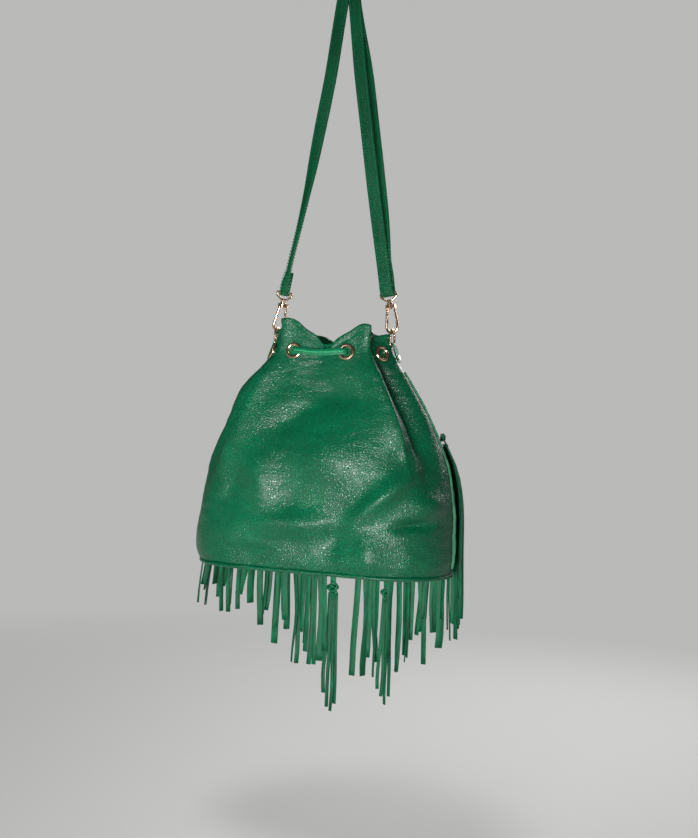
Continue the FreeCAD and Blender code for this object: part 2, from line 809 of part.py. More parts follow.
def make_slider():
    """A flat frame with a middle bar, riding between the two layers of the right leg."""
    height, thick = size("slider_height"), size("slider_thickness")
    frame = leg_frame(1).multiply(place(z=size("double_length") - height))
    half_width = size("strap_width") / 2 + size("slider_side")
    corner = place(-half_width, -thick / 2, -height / 2)
    plate = primitive("Box", frame.multiply(corner), Length=2 * half_width, Width="Sizes.slider_thickness",
                      Height="Sizes.slider_height")
    opening = size("strap_width") / 2 + size("slider_play")
    window, bar = size("slider_window"), size("slider_bar")
    windows = [
        primitive("Box", frame.multiply(place(-opening, -thick, low)), Length=2 * opening,
                  Width=SLIDER_CUT * thick, Height="Sizes.slider_window")
        for low in (-bar / 2 - window, bar / 2)
    ]
    node(cut(plate, group(windows)), "strap_slider")


def wire_loop(frame, corners, radius_expr):
    """A closed loop of round wire through corners of the frame's XZ plane, rounded at each corner."""
    wires = []
    for (start_x, start_z), (stop_x, stop_z) in zip(corners, corners[1:] + corners[:1]):
        lean = math.degrees(math.atan2(stop_x - start_x, stop_z - start_z))
        run = math.hypot(stop_x - start_x, stop_z - start_z)
        corner = frame.multiply(place(start_x, 0, start_z, (0, 1, 0), lean))
        wires.append(primitive("Cylinder", corner, Radius=radius_expr, Height=run))
        wires.append(ball(corner, radius_expr))
    return wires


def make_ring(side, name):
    """The wire ring that the strap folds round, with the stud that the hook swivels on."""
    frame = side_frame(side)
    wide, narrow = size("strap_width") / 2 + RING_SIDE, size("ring_foot")
    low = -size("ring_drop")
    loop = wire_loop(frame, [(-wide, 0), (wide, 0), (wide, RING_SHOULDER), (narrow, low), (-narrow, low),
                             (-wide, RING_SHOULDER)], "Sizes.thin_wire")
    collar = primitive("Cylinder", frame.multiply(place(z=low - size("collar_height"))),
                       Radius="Sizes.collar_radius", Height="Sizes.collar_height")
    stud = primitive("Cylinder", frame.multiply(place(z=low - size("stud_reach"))), Radius="Sizes.stud",
                     Height="Sizes.stud_reach")
    head_spot = frame.multiply(place(z=low - size("stud_reach") - size("stud_head_height") / 2))
    head = primitive("Cylinder", head_spot, Radius="Sizes.stud_head", Height="Sizes.stud_head_height")
    node(fuse(*loop, collar, stud, head), "strap_ring_" + name)


def half_torus(placement, major_expr, minor_expr):
    """Half of a wire ring, open towards local +Y of its own plane."""
    return torus(placement, major_expr, minor_expr, "180")


def gate_frame(side):
    """The gate's frame: origin on the middle of its pin, axes along the hook's own."""
    return side_frame(side).multiply(place(size("gate_x"), 0, -size("gate_drop")))


def across_gate(frame, radius, length):
    """A cylinder about the gate's pin line, centred on the hook."""
    spot = frame.multiply(place(0, length / 2, 0, (1, 0, 0), 90))
    return primitive("Cylinder", spot, Radius=radius, Height=length)


HEAD_CLEAR = 0.2


def make_hook(side, name):
    """The cast hook: barrel, shoulder with the gate's fork, wire bow and short nose."""
    frame = side_frame(side)
    foot, turn = -size("barrel_foot"), size("bow_turn")
    barrel_height = size("barrel_foot") - size("barrel_top")
    depth, back = size("shoulder_depth"), size("shoulder_back")
    bow_z = -size("hook_length") + turn
    barrel = primitive("Cylinder", frame.multiply(place(z=foot)), Radius="Sizes.barrel_radius",
                       Height=barrel_height)
    shoulder = primitive("Box", frame.multiply(place(-back, -depth / 2, foot)),
                         Length="Sizes.shoulder_back + Sizes.shoulder_nose", Width="Sizes.shoulder_depth",
                         Height="Sizes.shoulder_height")
    bow_spot = frame.multiply(place(z=bow_z, axis=(1, 0, 0), angle=-90))
    bow = half_torus(bow_spot, "Sizes.bow_turn", "Sizes.wire")
    rise = foot + size("shoulder_height") / 2 - bow_z
    lean = math.degrees(math.atan2(turn - back + size("wire"), rise))
    back_wire = primitive("Cylinder", frame.multiply(place(-turn, 0, bow_z, (0, 1, 0), lean)),
                          Radius="Sizes.wire", Height=rise / math.cos(math.radians(lean)))
    nose = primitive("Cylinder", frame.multiply(place(turn, 0, bow_z)), Radius="Sizes.wire",
                     Height="Sizes.nose_length")
    body = fuse(barrel, shoulder, bow, back_wire, nose)
    bore = primitive("Cylinder", frame.multiply(place(z=foot - 1)), Radius="Sizes.stud + Sizes.running",
                     Height=barrel_height + 2)
    slot_corner = place(size("fork_start"), -size("fork_slot") / 2, foot - 1)
    slot = primitive("Box", frame.multiply(slot_corner), Length="Sizes.shoulder_nose",
                     Width="Sizes.fork_slot", Height="Sizes.shoulder_height + 2")
    pin_hole = across_gate(gate_frame(side), "Sizes.pin_bore", 2 * depth)
    head_room = primitive("Cylinder", frame.multiply(place(z=foot - depth)),
                          Radius=f"Sizes.stud_head + {HEAD_CLEAR}", Height=depth)
    node(cut(cut(cut(cut(body, bore), slot), pin_hole), head_room), "hook_" + name)
    node(across_gate(gate_frame(side), "Sizes.pin_radius", depth), "gate_pin_" + name)


GATE_CLEAR = 0.5
GATE_HUB_FACE = 1.4
SPRING_START = -0.7
SPRING_TURNS = 3


def make_gate(side, name):
    """The sprung gate: a hub on its pin and an arm that closes the hook's mouth."""
    frame = gate_frame(side)
    mouth = size("hook_length") - size("bow_turn") - size("nose_length") - size("gate_drop") - GATE_CLEAR
    lean = math.degrees(math.atan2(size("bow_turn") - size("gate_x"), mouth))
    width, neck = size("gate_hub_width"), size("gate_neck_length")
    hub = primitive("Cylinder", frame.multiply(place(0, GATE_HUB_FACE, 0, (1, 0, 0), 90)),
                    Radius="Sizes.gate_hub", Height="Sizes.gate_hub_width")
    neck_spot = frame.multiply(place(0, GATE_HUB_FACE - width / 2, 0, (0, 1, 0), 180 - lean))
    stem = primitive("Cylinder", neck_spot, Radius="Sizes.gate_neck", Height=mouth)
    arm_spot = frame.multiply(place(axis=(0, 1, 0), angle=180 - lean)).multiply(place(z=neck))
    arm = primitive("Cylinder", arm_spot, Radius="Sizes.gate_arm", Height=mouth - neck)
    bore = across_gate(frame, "Sizes.pin_bore", CUTTER)
    node(cut(fuse(hub, stem, arm), bore), "gate_" + name)
    make_gate_spring(frame, name)


def make_gate_spring(frame, name):
    """The little close-wound coil beside the gate's hub, round the same pin."""
    turns = [
        torus(frame.multiply(place(0, SPRING_START - turn * size("spring_pitch"), 0, (1, 0, 0), 90)),
              "Sizes.spring_turn", "Sizes.spring_wire", "360")
        for turn in range(SPRING_TURNS)
    ]
    node(fuse(*turns), "gate_spring_" + name)


DRING_HANG_GAP = 0.4


def dring_centre(side):
    """The middle of a D-ring's round end: the bag swings about the line through both."""
    drop = size("wire") + size("thin_wire") + DRING_HANG_GAP
    return vector(side * size("dring_reach"), 0, size("bow_level") + drop - size("dring_turn"))


def make_dring(side, name):
    """A D-ring in the bag's YZ plane: round above, where the hook hangs, straight in the tab."""
    centre = dring_centre(side)
    turn, leg = size("dring_turn"), size("dring_leg")
    at = place(centre.x, centre.y, centre.z)
    arc = half_torus(at.multiply(place(axis=(0, 0, 1), angle=90)).multiply(place(axis=(1, 0, 0), angle=90)),
                     "Sizes.dring_turn", "Sizes.thin_wire")
    parts = [arc]
    for hand in (-1, 1):
        foot = at.multiply(place(0, hand * turn, -leg))
        parts.append(primitive("Cylinder", foot, Radius="Sizes.thin_wire", Height="Sizes.dring_leg"))
        parts.append(ball(foot, "Sizes.thin_wire"))
    parts.append(primitive("Cylinder", at.multiply(place(0, turn, -leg, (1, 0, 0), 90)),
                           Radius="Sizes.thin_wire", Height="2 * Sizes.dring_turn"))
    node(fuse(*parts), "d_ring_" + name)


def tab_frame(side):
    """The tab's frame: origin in the D-ring's straight bar, local -Z down along the leaning side wall."""
    centre = dring_centre(side)
    level = centre.z - size("dring_leg")
    foot = level - size("tab_length")
    rise = gathered(foot, "rim_width", "base_width") - gathered(level, "rim_width", "base_width")
    lean = math.degrees(math.atan2(rise, size("tab_length")))
    return place(centre.x, 0, level, (0, 1, 0), -side * lean)


def make_tab(side, name):
    """A folded leather tab round the D-ring's bar, riveted to the side of the bag."""
    frame = tab_frame(side)
    width, length = size("tab_width"), size("tab_length")
    inner = size("thin_wire") + size("rivet_clear")
    outer = inner + size("tab_leather")
    along = frame.multiply(place(0, width / 2, 0, (1, 0, 0), 90))
    loop = cut(primitive("Cylinder", along, Radius=outer, Height="Sizes.tab_width"),
               primitive("Cylinder", along, Radius=inner, Height="Sizes.tab_width"))
    layers = [
        primitive("Box", frame.multiply(place(start, -width / 2, -length)), Length="Sizes.tab_leather",
                  Width="Sizes.tab_width", Height="Sizes.tab_length")
        for start in (-outer, inner)
    ]
    rivet_level = size("tab_rivet_rise") - length
    bore = primitive("Cylinder", frame.multiply(place(-length / 2, 0, rivet_level, (0, 1, 0), 90)),
                     Radius="Sizes.tab_rivet_stem + Sizes.rivet_clear", Height=length)
    node(cut(fuse(cut(loop, half_space(frame, False)), *layers), bore), "tab_" + name)
    stem = frame.multiply(place(-outer * side, 0, rivet_level, (0, 1, 0), 90 * side))
    stem_length = 2 * (outer + size("rivet_clear"))
    rivet = fuse(
        primitive("Cylinder", stem, Radius="Sizes.tab_rivet_stem", Height=stem_length),
        primitive("Cylinder", stem.multiply(place(z=stem_length)), Radius="Sizes.rivet_head",
                  Height="Sizes.rivet_head_height"),
    )
    node(rivet, "tab_rivet_" + name)


# ---------------------------------------------------------------- build

def build():
    holes = eyelet_holes()
    make_panels(holes)
    make_facing_and_lining(holes)
    make_base()
    make_base_welt()
    make_side_welts()
    make_eyelets()
    make_drawcord()
    make_cord_ends()
    make_fringe()
    make_strap()
    make_slider()
    for side, name in ((-1, "left"), (1, "right")):
        make_ring(side, name)
        make_hook(side, name)
        make_gate(side, name)
        make_dring(side, name)
        make_tab(side, name)


def check():
    """Stop if anything failed to compute or a sub-part has no valid shape."""
    for made in doc.Objects:
        if "Invalid" in made.State or "Error" in made.State:
            raise RuntimeError(f"{made.Name} ({made.Label}) failed: {made.State}")
    for part in NODES:
        if part.Shape.isNull() or not part.Shape.isValid():
            raise RuntimeError(f"{part.Label} has no valid shape")


def write():
    os.makedirs("parts", exist_ok=True)
    for part in NODES:
        part.Shape.exportStep(f"parts/{part.Label}.step")
        print(part.Label, len(part.Shape.Solids), round(part.Shape.Volume))


build()
doc.recompute()
check()
write()
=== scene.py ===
"""A gathered green leather bucket bag, with a drawcord, knotted fringe and a strap on snap hooks."""
import json
import math
import random
from collections import namedtuple

import bpy
from mathutils import Matrix, Vector, noise


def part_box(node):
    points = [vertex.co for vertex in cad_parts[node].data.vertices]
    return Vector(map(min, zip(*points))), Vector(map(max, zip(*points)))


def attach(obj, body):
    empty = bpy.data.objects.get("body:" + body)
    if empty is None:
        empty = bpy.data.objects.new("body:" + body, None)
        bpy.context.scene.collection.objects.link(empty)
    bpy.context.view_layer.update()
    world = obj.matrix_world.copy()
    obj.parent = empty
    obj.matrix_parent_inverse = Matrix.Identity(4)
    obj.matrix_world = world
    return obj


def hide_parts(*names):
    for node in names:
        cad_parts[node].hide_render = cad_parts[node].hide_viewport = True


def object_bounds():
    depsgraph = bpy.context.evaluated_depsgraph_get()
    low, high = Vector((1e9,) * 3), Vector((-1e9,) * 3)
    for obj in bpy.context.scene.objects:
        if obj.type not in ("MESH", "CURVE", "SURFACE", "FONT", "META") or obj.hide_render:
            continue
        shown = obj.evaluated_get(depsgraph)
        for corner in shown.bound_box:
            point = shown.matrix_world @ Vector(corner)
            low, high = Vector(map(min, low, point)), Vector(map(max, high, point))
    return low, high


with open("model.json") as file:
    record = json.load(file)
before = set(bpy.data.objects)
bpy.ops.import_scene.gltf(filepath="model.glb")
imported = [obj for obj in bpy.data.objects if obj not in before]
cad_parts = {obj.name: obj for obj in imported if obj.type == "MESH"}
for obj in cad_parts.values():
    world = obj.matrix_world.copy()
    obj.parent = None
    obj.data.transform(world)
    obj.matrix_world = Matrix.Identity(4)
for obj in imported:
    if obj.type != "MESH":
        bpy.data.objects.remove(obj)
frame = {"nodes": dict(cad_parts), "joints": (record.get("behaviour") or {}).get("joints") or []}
CAD_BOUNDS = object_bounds()

MM = 0.001  # shapes are worked out in millimetres and made in metres
UP = Vector((0, 0, 1))
BACK = Vector((0, -1, 0))
FRONT = Vector((0, 1, 0))
SIDES = ("left", "right")
JOINTS = {joint["name"]: joint for joint in frame["joints"]}
chance = random.Random(7)


# ---- sizes, worked out from the frame

def node_box(name):
    """A CAD node's lowest and highest corners in millimetres."""
    low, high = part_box(name)
    return low / MM, high / MM


def joint_point(name):
    return Vector(JOINTS[name]["pos_m"]) / MM


WALL_LOW, WALL_HIGH = node_box("back_panel")
BAG_HEIGHT = WALL_HIGH.z
WALL_START = WALL_LOW.z
BASE_HALF_WIDTH = WALL_HIGH.x
BASE_HALF_DEPTH = -WALL_LOW.y
RIM_HALF_WIDTH = 65
RIM_HALF_DEPTH = 39
GATHER_POWER = 1.9  # the larger, the nearer the rim the wall starts to draw in
LEATHER = 1.6
EYELET_LEVEL = BAG_HEIGHT - 23
EYELET_ACROSS = 31
SIDE_EYELET_ANGLE = 60
STRAIGHT = BASE_HALF_WIDTH - BASE_HALF_DEPTH
QUARTER = STRAIGHT + math.pi / 2 * BASE_HALF_DEPTH
STRAIGHT_SHARE = STRAIGHT / QUARTER


# ---- mesh helpers

def add_object(name, data):
    made = bpy.data.objects.new(name, data)
    bpy.context.scene.collection.objects.link(made)
    return made


def make_mesh(name, points, faces, material):
    """A smooth mesh object from points in millimetres."""
    mesh = bpy.data.meshes.new(name)
    mesh.from_pydata([tuple(Vector(point) * MM) for point in points], [], faces)
    mesh.validate()
    mesh.update()
    mesh.polygons.foreach_set("use_smooth", [True] * len(mesh.polygons))
    mesh.materials.append(material)
    return add_object(name, mesh)


def grid_faces(rows, columns, wrap=False, start=0):
    """Quads of a grid of points stored row by row."""
    faces = []
    for row in range(rows - 1):
        for column in range(columns if wrap else columns - 1):
            right = (column + 1) % columns
            low, high = start + row * columns, start + (row + 1) * columns
            faces.append((low + column, low + right, high + right, high + column))
    return faces


def roll_faces(rows, columns, start=0):
    """The faces of a closed roll: rings of points joined up, with a face at each end."""
    last = start + (rows - 1) * columns
    ends = [tuple(range(start, start + columns)), tuple(range(last + columns - 1, last - 1, -1))]
    return grid_faces(rows, columns, True, start) + ends


def thicken(made, thickness, offset=-1.0):
    """Gives a sheet its thickness: inwards at an offset of -1, outwards at 1."""
    solid = made.modifiers.new("thickness", "SOLIDIFY")
    solid.thickness = thickness * MM
    solid.offset = offset


def belong(piece, body, node=None):
    """A piece rides on a body and may stand for a CAD node, which is then hidden."""
    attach(piece, body)
    if node:
        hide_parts(node)


def smooth_step(low, high, value):
    """0 at low, 1 at high and a smooth rise between them, whichever is the larger."""
    share = min(max((value - low) / (high - low), 0), 1)
    return share * share * (3 - 2 * share)


def bell(value, width):
    return math.exp(-(value / width) ** 2)


def direction(path, index):
    """Which way a path runs at one of its points."""
    before, after = path[max(index - 1, 0)], path[min(index + 1, len(path) - 1)]
    return (after - before).normalized()


class Band:
    """Collects flat leather strips, each a rounded band swept along a path, into one mesh."""

    FLAT = 0.82  # the share of a strip's width that is flat
    UPRIGHT = 0.35  # the share of its thickness that is upright at the edges
    CORNERS = (
        (-1, -UPRIGHT), (-FLAT, -1), (FLAT, -1), (1, -UPRIGHT),
        (1, UPRIGHT), (FLAT, 1), (-FLAT, 1), (-1, UPRIGHT),
    )

    def __init__(self):
        self.points = []
        self.faces = []

    def sweep(self, path, facings, width, thickness, cup=0):
        """Adds a strip along a path; a facing tells which way its face looks, and cup bends it across."""
        self.faces += roll_faces(len(path), len(self.CORNERS), len(self.points))
        for index, (point, facing) in enumerate(zip(path, facings)):
            along = direction(path, index)
            across = along.cross(facing).normalized()
            out = across.cross(along).normalized()
            wide = width[index] if isinstance(width, list) else width
            for side, face in self.CORNERS:
                height = face * thickness / 2 + cup * (1 - side * side)
                self.points.append(point + across * (side * wide / 2) + out * height)

    def finish(self, name, material, body, slot, node=None):
        """Makes the piece out of all its strips."""
        belong(make_mesh(name, self.points, self.faces, material), body, node)


def curve_through(points, count):
    """Evenly stepped points on a smooth curve through a few points."""
    line = [Vector(point) for point in points]
    line = [line[0] * 2 - line[1]] + line + [line[-1] * 2 - line[-2]]
    result = []
    spans = len(line) - 3
    for step in range(count):
        place = step / (count - 1) * spans
        span = min(int(place), spans - 1)
        share = place - span
        a, b, c, d = line[span:span + 4]
        result.append(0.5 * (2 * b + (c - a) * share + (2 * a - 5 * b + 4 * c - d) * share ** 2
                             + (3 * b - a - 3 * c + d) * share ** 3))
    return result


def tube(name, path, radius, material, sides=12):
    """A round roll along a path, closed at both ends."""
    points = []
    for index, point in enumerate(path):
        along = direction(path, index)
        first = along.cross(UP).normalized()
        second = along.cross(first)
        for side in range(sides):
            angle = 2 * math.pi * side / sides
            points.append(point + (first * math.cos(angle) + second * math.sin(angle)) * radius)
    return make_mesh(name, points, roll_faces(len(path), sides), material)


# ---- materials

class Nodes:
    """A short way to build a procedural material."""

    def __init__(self, name):
        self.material = bpy.data.materials.new(name)
        self.material.use_nodes = True
        self.tree = self.material.node_tree
        self.surface = self.tree.nodes["Principled BSDF"]
        self.place = self.add("ShaderNodeTexCoord").outputs["Object"]

    def put(self, socket, value):
        """Links a node's output to a socket, or sets a number or a colour on it."""
        if isinstance(value, bpy.types.NodeSocket):
            self.tree.links.new(value, socket)
        elif socket.type == "RGBA":
            socket.default_value = (*value, 1)
        else:
            socket.default_value = value

    def add(self, kind, links=None, **settings):
        node = self.tree.nodes.new(kind)
        for name, value in settings.items():
            setattr(node, name, value)
        for name, value in (links or {}).items():
            self.put(node.inputs[name], value)
        return node

    def math(self, operation, first, second=0.0):
        return self.add("ShaderNodeMath", {0: first, 1: second}, operation=operation).outputs[0]

    def noise(self, scale, detail=3.0, roughness=0.55):
        links = {"Vector": self.place, "Scale": scale, "Detail": detail, "Roughness": roughness}
        return self.add("ShaderNodeTexNoise", links).outputs["Fac"]

    def ramp(self, value, stops):
        node = self.add("ShaderNodeValToRGB", {"Fac": value})
        elements = node.color_ramp.elements
        while len(elements) < len(stops):
            elements.new(0.5)
        for element, (position, color) in zip(elements, stops):
            element.position = position
            element.color = (*color, 1)
        return node.outputs["Color"]

    def spread(self, value, low, high):
        node = self.add("ShaderNodeMapRange", {"Value": value, "To Min": low, "To Max": high})
        return node.outputs["Result"]

    def mix(self, factor, first, second):
        """Blends two colours, which a mix node has at its sockets 6 and 7."""
        return self.add("ShaderNodeMix", {0: factor, 6: first, 7: second}, data_type="RGBA").outputs[2]

    def bump(self, height, strength, distance, normal=None):
        links = {"Height": height, "Strength": strength, "Distance": distance}
        if normal is not None:
            links["Normal"] = normal
        return self.add("ShaderNodeBump", links).outputs["Normal"]

    def finish(self, color, roughness, normal=None, **values):
        values.update(Base_Color=color, Roughness=roughness)
        if normal is not None:
            values["Normal"] = normal
        for name, value in values.items():
            self.put(self.surface.inputs[name.replace("_", " ")], value)
        return self.material


def pebbled_leather(name, mid, dark, light, grain=350.0, shine=0.27, depth=0.0003, gloss=0.4):
    """Full-grain leather: rounded pebbles, grain to a metre, parted by creases depth metres deep, with
    painted shade darkening the creases.
    """
    warp_reach = 0.004
    crease_reach = 0.32
    crease_dulling = 0.14
    nodes = Nodes(name)
    warp = nodes.add("ShaderNodeTexNoise", {"Vector": nodes.place, "Scale": 150.0, "Detail": 2.0})
    links = {0: warp.outputs["Color"], 1: [warp_reach] * 3}
    shift = nodes.add("ShaderNodeVectorMath", links, operation="MULTIPLY").outputs[0]
    moved = nodes.add("ShaderNodeVectorMath", {0: nodes.place, 1: shift}, operation="ADD").outputs[0]
    links = {"Vector": moved, "Scale": grain, "Randomness": 0.9}
    edge = nodes.add("ShaderNodeTexVoronoi", links, feature="DISTANCE_TO_EDGE").outputs["Distance"]
    links = {"Value": edge, "From Max": crease_reach}
    pebble = nodes.add("ShaderNodeMapRange", links, interpolation_type="SMOOTHSTEP").outputs["Result"]
    color = nodes.ramp(nodes.noise(20.0, 4.0), [(0.3, dark), (0.52, mid), (0.78, light)])
    # Painted shade: the creases between the pebbles are mixed towards a much darker green.
    color = nodes.mix(nodes.spread(pebble, 0.6, 0.0), color, tuple(part * 0.35 for part in dark))
    patches = nodes.spread(nodes.noise(60.0), -0.06, 0.08)
    roughness = nodes.math("ADD", patches, nodes.spread(pebble, shine + crease_dulling, shine))
    normal = nodes.bump(nodes.noise(90.0, 3.0), 0.4, 0.0004)
    normal = nodes.bump(pebble, 0.7, depth, normal)
    return nodes.finish(color, roughness, normal, Specular_IOR_Level=gloss)


def cut_suede(name, mid, dark, light):
    """Thin cut leather: matt, with a short nap and streaks that run down the strip."""
    nodes = Nodes(name)
    stretched = nodes.add("ShaderNodeMapping", {"Vector": nodes.place, "Scale": (1, 1, 0.18)})
    nodes.place = stretched.outputs["Vector"]
    streak = nodes.noise(240.0, 5.0, 0.6)
    color = nodes.ramp(streak, [(0.3, dark), (0.52, mid), (0.75, light)])
    color = nodes.mix(nodes.spread(nodes.noise(26.0), 0.0, 0.5), color, dark)
    normal = nodes.bump(nodes.noise(900.0, 4.0, 0.7), 0.4, 0.00025)
    return nodes.finish(color, nodes.spread(streak, 0.5, 0.78), normal, Specular_IOR_Level=0.35)


def plated_metal(name, color, dark):
    """Pale gold plate with faint hairlines and slightly duller patches."""
    nodes = Nodes(name)
    hairline = nodes.noise(700.0, 4.0, 0.7)
    patch = nodes.noise(60.0, 3.0)
    tint = nodes.ramp(patch, [(0.35, dark), (0.6, color)])
    roughness = nodes.math("ADD", nodes.spread(patch, 0.12, 0.26), nodes.spread(hairline, -0.03, 0.05))
    normal = nodes.bump(hairline, 0.08, 0.00006)
    return nodes.finish(tint, roughness, normal, Metallic=1.0)


def woven_lining(name, light, dark):
    """Plain cotton weave: two sets of fine threads at right angles."""
    nodes = Nodes(name)
    parts = nodes.add("ShaderNodeSeparateXYZ", {"Vector": nodes.place})
    along = nodes.math("ADD", parts.outputs["X"], parts.outputs["Y"])
    warp = nodes.math("SINE", nodes.math("MULTIPLY", along, 6500.0))
    weft = nodes.math("SINE", nodes.math("MULTIPLY", parts.outputs["Z"], 6500.0))
    weave = nodes.math("MULTIPLY", warp, weft)
    color = nodes.ramp(nodes.spread(weave, 0.35, 0.65), [(0.3, dark), (0.7, light)])
    color = nodes.mix(nodes.spread(nodes.noise(35.0), 0.0, 0.35), color, dark)
    return nodes.finish(color, 0.9, nodes.bump(weave, 0.3, 0.0002))


def pressed_board(name, light, dark):
    """Tan fibre board, flecked all over."""
    nodes = Nodes(name)
    flecks = nodes.noise(520.0, 6.0, 0.75)
    color = nodes.ramp(flecks, [(0.35, dark), (0.65, light)])
    return nodes.finish(color, 0.92, nodes.bump(flecks, 0.4, 0.0003))


def waxed_thread(name, light, dark):
    """Sewing thread, with fine twisted strands."""
    nodes = Nodes(name)
    strands = nodes.noise(2600.0, 2.0)
    color = nodes.ramp(strands, [(0.35, dark), (0.65, light)])
    return nodes.finish(color, 0.5, nodes.bump(strands, 0.5, 0.0001))


LEATHER_SKIN = pebbled_leather(
    "leather_green", mid=(0, 0.082, 0.034), dark=(0, 0.066, 0.027), light=(0, 0.112, 0.047))
STRAP_SKIN = pebbled_leather(
    "leather_strap", mid=(0, 0.075, 0.028), dark=(0, 0.05, 0.018), light=(0.001, 0.095, 0.038),
    grain=420.0, shine=0.36, depth=0.00045, gloss=0.22)
LACE_SKIN = pebbled_leather(
    "leather_lace", mid=(0.001, 0.15, 0.06), dark=(0, 0.11, 0.042), light=(0.004, 0.19, 0.08),
    grain=800.0, shine=0.36, depth=0.0002)
STRAP_THREAD = waxed_thread("thread_dark", (0.005, 0.17, 0.075), (0.002, 0.1, 0.04))
RAW_EDGE = cut_suede("leather_raw_edge", (0.02, 0.15, 0.07), (0.008, 0.09, 0.04), (0.1, 0.2, 0.12))
FRINGE_SKIN = cut_suede("leather_fringe", (0, 0.082, 0.033), (0, 0.036, 0.014), (0.003, 0.15, 0.068))
GOLD = plated_metal("rose_gold", (0.92, 0.66, 0.46), (0.8, 0.52, 0.34))
LINING_CLOTH = woven_lining("lining_cotton", (0.4, 0.35, 0.27), (0.28, 0.24, 0.18))
BOARD = pressed_board("base_board_fibre", (0.4, 0.31, 0.2), (0.25, 0.19, 0.12))
THREAD = waxed_thread("thread_green", (0.05, 0.36, 0.18), (0.02, 0.24, 0.11))


# ---- the gathered wall

def gather(level):
    """How far the wall has opened out below the rim: 0 at the rim, 1 at the base."""
    share = min(max(level / BAG_HEIGHT, 0), 1)
    return math.cos(math.pi / 2 * share ** GATHER_POWER) ** 2


def half_depth(level):
    return RIM_HALF_DEPTH + (BASE_HALF_DEPTH - RIM_HALF_DEPTH) * gather(level)


def half_width(level):
    return RIM_HALF_WIDTH + (BASE_HALF_WIDTH - RIM_HALF_WIDTH) * gather(level)


def split_turn(turn):
    """Which way a turn round the bag faces, and its share of the way from a panel's middle to a side seam.

    Turn 0 is the middle of the back, 1 the right seam, 2 the middle of the front and 3 the left seam."""
    turn %= 4
    quarter = int(turn)
    part = turn - quarter
    share = part if quarter in (0, 2) else 1 - part
    return (1 if quarter in (0, 1) else -1), (-1 if quarter in (0, 3) else 1), share


def oval_point(turn, level, stand=0):
    """A point on the smooth oval wall, and its level outward direction."""
    side_x, side_y, share = split_turn(turn)
    depth = half_depth(level)
    straight = half_width(level) - depth
    if share < STRAIGHT_SHARE:
        outward = Vector((0, side_y, 0))
        point = Vector((side_x * straight * share / STRAIGHT_SHARE, side_y * depth, level))
    else:
        angle = (share - STRAIGHT_SHARE) / (1 - STRAIGHT_SHARE) * math.pi / 2
        outward = Vector((side_x * math.sin(angle), side_y * math.cos(angle), 0))
        point = Vector((side_x * straight, 0, level)) + outward * depth
    return point + outward * stand, outward


# A pleat that the drawcord makes: its turn at the rim and at the foot, its widths in turns on the side of
# the lower and the higher turns, its height, the levels where it starts and is strongest, and its share
# that is left at the rim.
Pleat = namedtuple("Pleat", "top foot before after height start peak left")

PLEATS = (
    Pleat(0.655, 0.62, 0.11, 0.03, 14, 80, 205, 0.75),
    Pleat(0.76, 0.76, 0.04, 0.09, -16, 80, 185, 0.25),
    Pleat(0.95, 0.97, 0.09, 0.12, 6, 120, 215, 0.8),
    Pleat(-0.58, -0.57, 0.03, 0.1, 10, 70, 205, 0.7),
    Pleat(-0.7, -0.72, 0.09, 0.05, -12, 60, 195, 0.2),
    Pleat(-0.95, -0.97, 0.12, 0.09, 5, 120, 215, 0.8),
    Pleat(0, 0, 0.2, 0.2, -5, 150, 225, 0.6),
    Pleat(1.34, 1.38, 0.09, 0.05, 7, 100, 205, 0.7),
    Pleat(1.2, 1.2, 0.06, 0.09, -7, 110, 205, 0.2),
    Pleat(2, 2, 0.2, 0.2, -5, 150, 225, 0.6),
    Pleat(2.66, 2.62, 0.05, 0.09, 7, 100, 205, 0.7),
    Pleat(2.8, 2.8, 0.09, 0.06, -7, 110, 205, 0.2),
)

# A soft dent or swell of the hanging leather: its middle, half widths in millimetres across and up, how
# far it is turned anticlockwise as seen from outside, and how far it stands out.
Swell = namedtuple("Swell", "turn level across up turned height")

SWELLS = (
    Swell(-0.12, 170, 44, 17, 33, -6.5),
    Swell(0.27, 193, 34, 15, -8, -7),
    Swell(0.17, 130, 40, 34, 0, 11),
    Swell(-0.29, 100, 20, 42, 22, 8),
    Swell(-0.03, 55, 46, 14, 3, 9),
    Swell(-0.47, 90, 24, 36, 0, -9),
    Swell(0.49, 90, 42, 10, 40, 10),
    Swell(0.4, 25, 15, 20, 0, 7),
    Swell(0.2, 42, 15, 22, -25, -7),
    Swell(0.66, 60, 22, 6, 5, -6.5),
    Swell(0.74, 82, 24, 14, 8, 6),
    Swell(0.6, 128, 14, 22, -10, -5),
    Swell(-0.9, 42, 9, 8, 0, -3),
    Swell(-0.88, 202, 34, 25, 0, 7.5),
    Swell(-0.85, 28, 50, 26, 0, 5),
    Swell(-0.35, 20, 34, 10, -3, -4.5),
    Swell(1.75, 120, 46, 34, 8, -8),
    Swell(2.3, 60, 40, 30, -6, 6),
)

# The rim's ups and downs.
Wave = namedtuple("Wave", "turn width rise")

RIM_WAVES = (
    Wave(-0.52, 0.2, 13.5),
    Wave(0.6, 0.12, 9),
    Wave(0.14, 0.27, -9.5),
    Wave(0.09, 0.13, -9),
    Wave(0.8, 0.08, -3),
    Wave(1.5, 0.22, 1),
    Wave(2, 0.3, -12),
    Wave(2.5, 0.22, 1),
)


def turn_gap(turn, centre):
    """The signed distance in turns, the short way round."""
    return (turn - centre + 2) % 4 - 2


def quarter_run(level):
    """The length round a quarter of the wall at a level."""
    depth = half_depth(level)
    return half_width(level) - depth + math.pi / 2 * depth


def rim_level(turn):
    return BAG_HEIGHT + sum(wave.rise * bell(turn_gap(turn, wave.turn), wave.width) for wave in RIM_WAVES)


